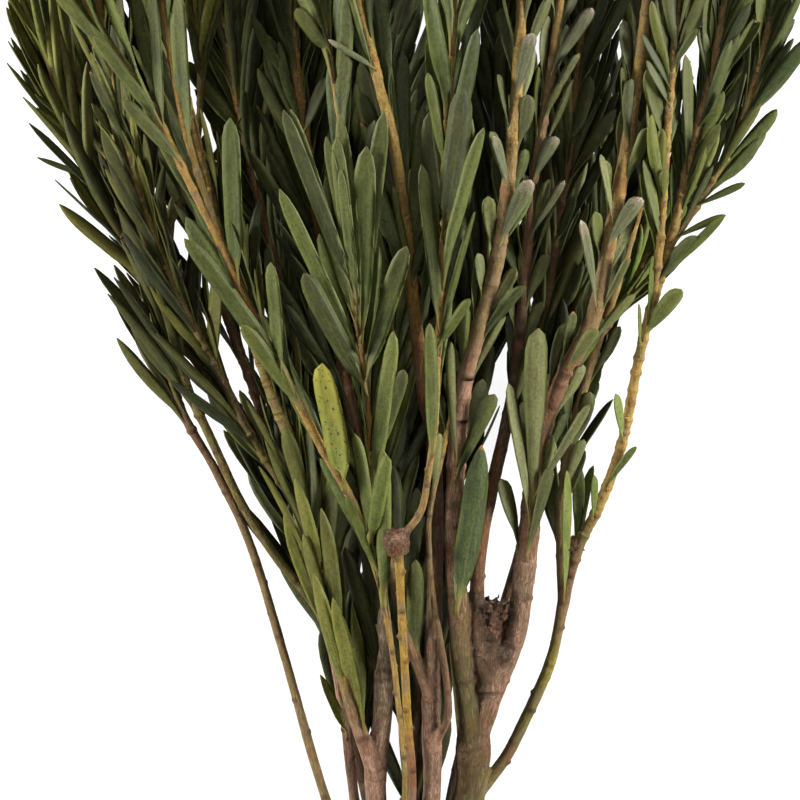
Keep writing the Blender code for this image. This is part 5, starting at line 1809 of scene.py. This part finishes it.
def barkMaterial():
    material, make = newMaterial("bark")
    x, y, along = make.split(make.attribute("barkPlace"))
    fissure, algae, unused = make.split(make.attribute("barkMarks"))
    base = make.attribute("barkColour", 0)
    scar = make.attribute("barkScar", 2)
    cracks = make.noise(make.join(x * 1.3, y * 1.3, along * 0.2), 1.0, 4.0, 0.65, 0.7)
    plates = make.noise(make.join(x * 0.6, y * 0.6, along * 0.1), 1.0, 3.0, 0.6, 0.5)
    fibres = make.noise(make.join(x * 1.7, y * 1.7, along * 0.45), 1.0, 4.0, 0.7, 0.3)
    patches = make.noise(make.join(x, y, along), 0.09, 3.0, 0.6)
    lichen = make.noise(make.join(x, y, along), 0.22, 3.0, 0.65, 0.5)
    crossing = make.noise(make.join(x * 0.15, y * 0.15, along * 0.9), 1.0, 2.0, 0.5, 0.3)

    tone = 0.5 + plates * 0.85 + (fibres - 0.5) * 1.9
    colour = make.mixColour(1.0, base, make.join(tone, tone, tone), "MULTIPLY")
    # greyer and redder patches
    colour = make.mixColour(patches.ramp(0.5, 0.66) * 0.55, colour, (0.090, 0.062, 0.038, 1))
    colour = make.mixColour(patches.ramp(0.46, 0.32) * 0.5, colour, (0.098, 0.036, 0.014, 1))
    dark = (cracks - 0.5).size().ramp(0.07, 0.0) * fissure
    colour = make.mixColour(dark * 0.55, colour, (0.020, 0.012, 0.008, 1))
    flakes = cracks.ramp(0.58, 0.7) * fissure
    colour = make.mixColour(flakes * 0.3, colour, (0.150, 0.096, 0.058, 1))
    # fine rings across young bark
    rings = (crossing - 0.5).size().ramp(0.035, 0.0) * (1 - fissure)
    colour = make.mixColour(rings * 0.4, colour, (0.048, 0.026, 0.011, 1))
    green = lichen.ramp(0.42, 0.6) * algae
    colour = make.mixColour(green * 0.85, colour, (0.050, 0.047, 0.011, 1))
    colour = make.mixColour(scar * 0.6, colour, (0.034, 0.018, 0.011, 1))

    height = plates * 0.8 + cracks * 0.8 * (0.3 + fissure) + fibres * 0.3 - dark * 0.9
    height = height - rings * 0.4
    bump = make.node("ShaderNodeBump", (), {"Strength": 0.8, "Distance": 0.5 * mm,
                                            "Height": height})
    roughness = 0.72 + fibres * 0.2
    return finishMaterial(material, Base_Color=colour, Roughness=roughness, Normal=bump,
                          Specular_IOR_Level=0.08)


def rubberMaterial():
    material, make = newMaterial("rubber")
    place = make.node("ShaderNodeTexCoord", (), (), 3)
    dust = make.noise(place, 60.0, 3.0, 0.6)
    grain = make.noise(place, 900.0, 2.0, 0.5)
    colour = make.mixColour(dust.ramp(0.35, 0.7), (0.30, 0.19, 0.085, 1), (0.42, 0.30, 0.16, 1))
    bump = make.node("ShaderNodeBump", (), {"Strength": 0.3, "Distance": 0.2 * mm,
                                            "Height": grain})
    return finishMaterial(material, Base_Color=colour, Roughness=0.5 + dust * 0.15, Normal=bump)


leafSkin, bark, rubber = leafMaterial(), barkMaterial(), rubberMaterial()


def claim(piece, node):
    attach(piece, "root")
    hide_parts(node)


def addLeaves():
    byNode = {}
    for leaf, line in shownLeaves([(leaf, leafLine(leaf)) for leaf in leaves]):
        byNode.setdefault(leaf.node, []).append(line)
    for node, lines in sorted(byNode.items()):
        piece = newPiece(f"{node}_leaves", lineMesh(node, lines))
        addTree(piece, ribbons, {"Sides": leafTable["sides"], "Cupping": leafTable["cupping"],
                                 "Wave": leafTable["wave"], "Material": leafSkin})
        claim(settle(piece), node)


def footMarks(shoot):
    # marks on a twig just below each leaf's foot
    marks = []
    for leaf in leaves:
        if leaf.shoot is shoot:
            growth = leaf.growth
            root = growth.foot + growth.outward * shoot.fine.radius(leaf.distance)
            places = np.array([root - growth.ahead * back for back in wood["footMark"]])
            marks.append({"points": inFrame(places + nudged(shoot, leaf.distance)),
                          "tubeRadius": np.full(2, wood["markRadius"]) * mm})
    return marks


def addTwigs():
    byNode = {}
    for shoot in shoots:
        if not shoot.limb.foliage:
            continue
        first = shoot.bare * shoot.stretch - wood["twigRoot"] if hasOwnNode(shoot) else 0
        first = max(first, 0)
        feet = [leaf.distance - wood["footMark"][0] for leaf in leaves if leaf.shoot is shoot]
        lines, marks = byNode.setdefault(nodeOf(shoot), ([], []))
        lines.append(limbLine(shoot, first, shoot.fine.length, wood["twigStep"],
                              [d for d in feet if d > first]))
        marks += footMarks(shoot)
    for node, (lines, marks) in sorted(byNode.items()):
        piece = barkPiece(f"{node}_twig", lines, marks, bark, wood["twigSides"])
        claim(piece, node)


def addWood():
    for stem in bunch:
        lines, scars, lumps = [], [], []
        for shoot in shoots:
            if shoot.stem != stem:
                continue
            if shoot.bearer and shoot.limb.foliage and not hasOwnNode(shoot):
                continue
            step = wood["burlStep" if shoot.name in burls else "step"]
            lines.append(limbLine(shoot, 0, woodEnd(shoot), step))
            scars += scarLines(shoot)
            lumps += burlLines(shoot)
        piece = barkPiece(f"{stem}_wood_bark", lines, scars, bark, wood["sides"], wood["voxel"],
                          lumps)
        claim(piece, f"{stem}_wood")


def addBand():
    circles, lines = stemsInBand(), []
    draw = random.Random(band["seed"])
    for turn in range(band["turns"]):
        y = bunchRule["bandY"] + (turn - (band["turns"] - 1) / 2) * band["width"] / band["turns"]
        outline = stretchedRound(circles, band["gap"] + band["thickness"] / 2, band["sides"],
                                 band["thickness"] / 2)
        away = outline - outline.mean(0)
        away /= np.linalg.norm(away, axis=1)[:, None]
        count = len(outline)
        phase = draw.uniform(0, 6)
        sway = band["sway"] * np.sin(np.linspace(0, 4 * math.pi, count, endpoint=False) + phase)
        points = np.stack([outline[:, 0], y + sway, outline[:, 1]], axis=1)
        lines.append({
            "points": inFrame(points),
            "closed": True,
            "acrossWay": np.tile((0, 1, 0), (count, 1)),
            "backWay": np.stack([away[:, 0], np.zeros(count), away[:, 1]], axis=1),
            "halfWidth": np.full(count, band["strandWidth"] / 2 * mm),
            "leafAlong": np.linspace(0, 1, count),
        })
    piece = newPiece("rubber_band_turns", lineMesh("rubber_band", lines))
    addTree(piece, ribbons, {"Sides": band["strandSides"], "Thickness": band["thickness"] * mm,
                             "Squareness": band["squareness"], "Material": rubber})
    claim(settle(piece), "rubber_band")


for stage in (addWood, addTwigs, addLeaves, addBand):
    print(stage.__name__)
    stage()

studio = {
    "floorSize": 60.0,
    "floorDrop": 0.0004,
    "lamps": {
        "left": ((-1.6, 0.3, 0.72), 0.6, 132.0),
        "right": ((1.6, 0.2, 0.72), 0.6, 138.0),
        "above": ((0.0, -0.1, 1.9), 1.0, 22.0),
    },
    "lookAt": (0.0, 0.08, 0.05),
    "skyStrength": 0.05,
    "floorGlow": 0.9,
    "sensor": 36,
    "distance": 3.0,
    "sharpHeight": 0.08,
    "pictureWidth": 0.32,
    "pictureMiddle": (0.0, 160.0),
}


def addFloor():
    size = studio["floorSize"] / 2
    mesh = bpy.data.meshes.new("floor")
    corners = [(-size, -size), (size, -size), (size, size), (-size, size)]
    mesh.from_pydata([(x, y, -studio["floorDrop"]) for x, y in corners], [], [(0, 1, 2, 3)])
    mesh.materials.append(finishMaterial(
        newMaterial("floor")[0], Base_Color=(0.12, 0.12, 0.12, 1), Roughness=0.9,
        Specular_IOR_Level=0.1, Emission_Color=(1, 1, 1, 1),
        Emission_Strength=studio["floorGlow"]))
    newPiece("floor", mesh)


def addLight():
    for name, (place, size, power) in studio["lamps"].items():
        lamp = bpy.data.lights.new(name, "AREA")
        lamp.energy, lamp.size = power, size
        holder = bpy.data.objects.new(name, lamp)
        holder.location = place
        away = Vector(place) - Vector(studio["lookAt"])
        holder.rotation_euler = away.to_track_quat("Z", "Y").to_euler()
        bpy.context.scene.collection.objects.link(holder)
    world = bpy.data.worlds.new("sky")
    world.use_nodes = True
    world.node_tree.nodes["Background"].inputs["Color"].default_value = (1, 1, 1, 1)
    world.node_tree.nodes["Background"].inputs["Strength"].default_value = studio["skyStrength"]
    bpy.context.scene.world = world
    settings = bpy.context.scene.view_settings
    settings.view_transform = "Standard"
    settings.look = "None"


def addCamera():
    data = bpy.data.cameras.new("camera")
    data.sensor_width = studio["sensor"]
    data.lens = studio["sensor"] * studio["distance"] / studio["pictureWidth"]
    data.clip_end = 100
    camera = bpy.data.objects.new("camera", data)
    x, y = studio["pictureMiddle"]
    camera.location = ((x + shift.x) * mm, (y + shift.y) * mm,
                       studio["sharpHeight"] + studio["distance"])
    bpy.context.scene.collection.objects.link(camera)
    bpy.context.scene.camera = camera


addFloor()
addLight()
addCamera()
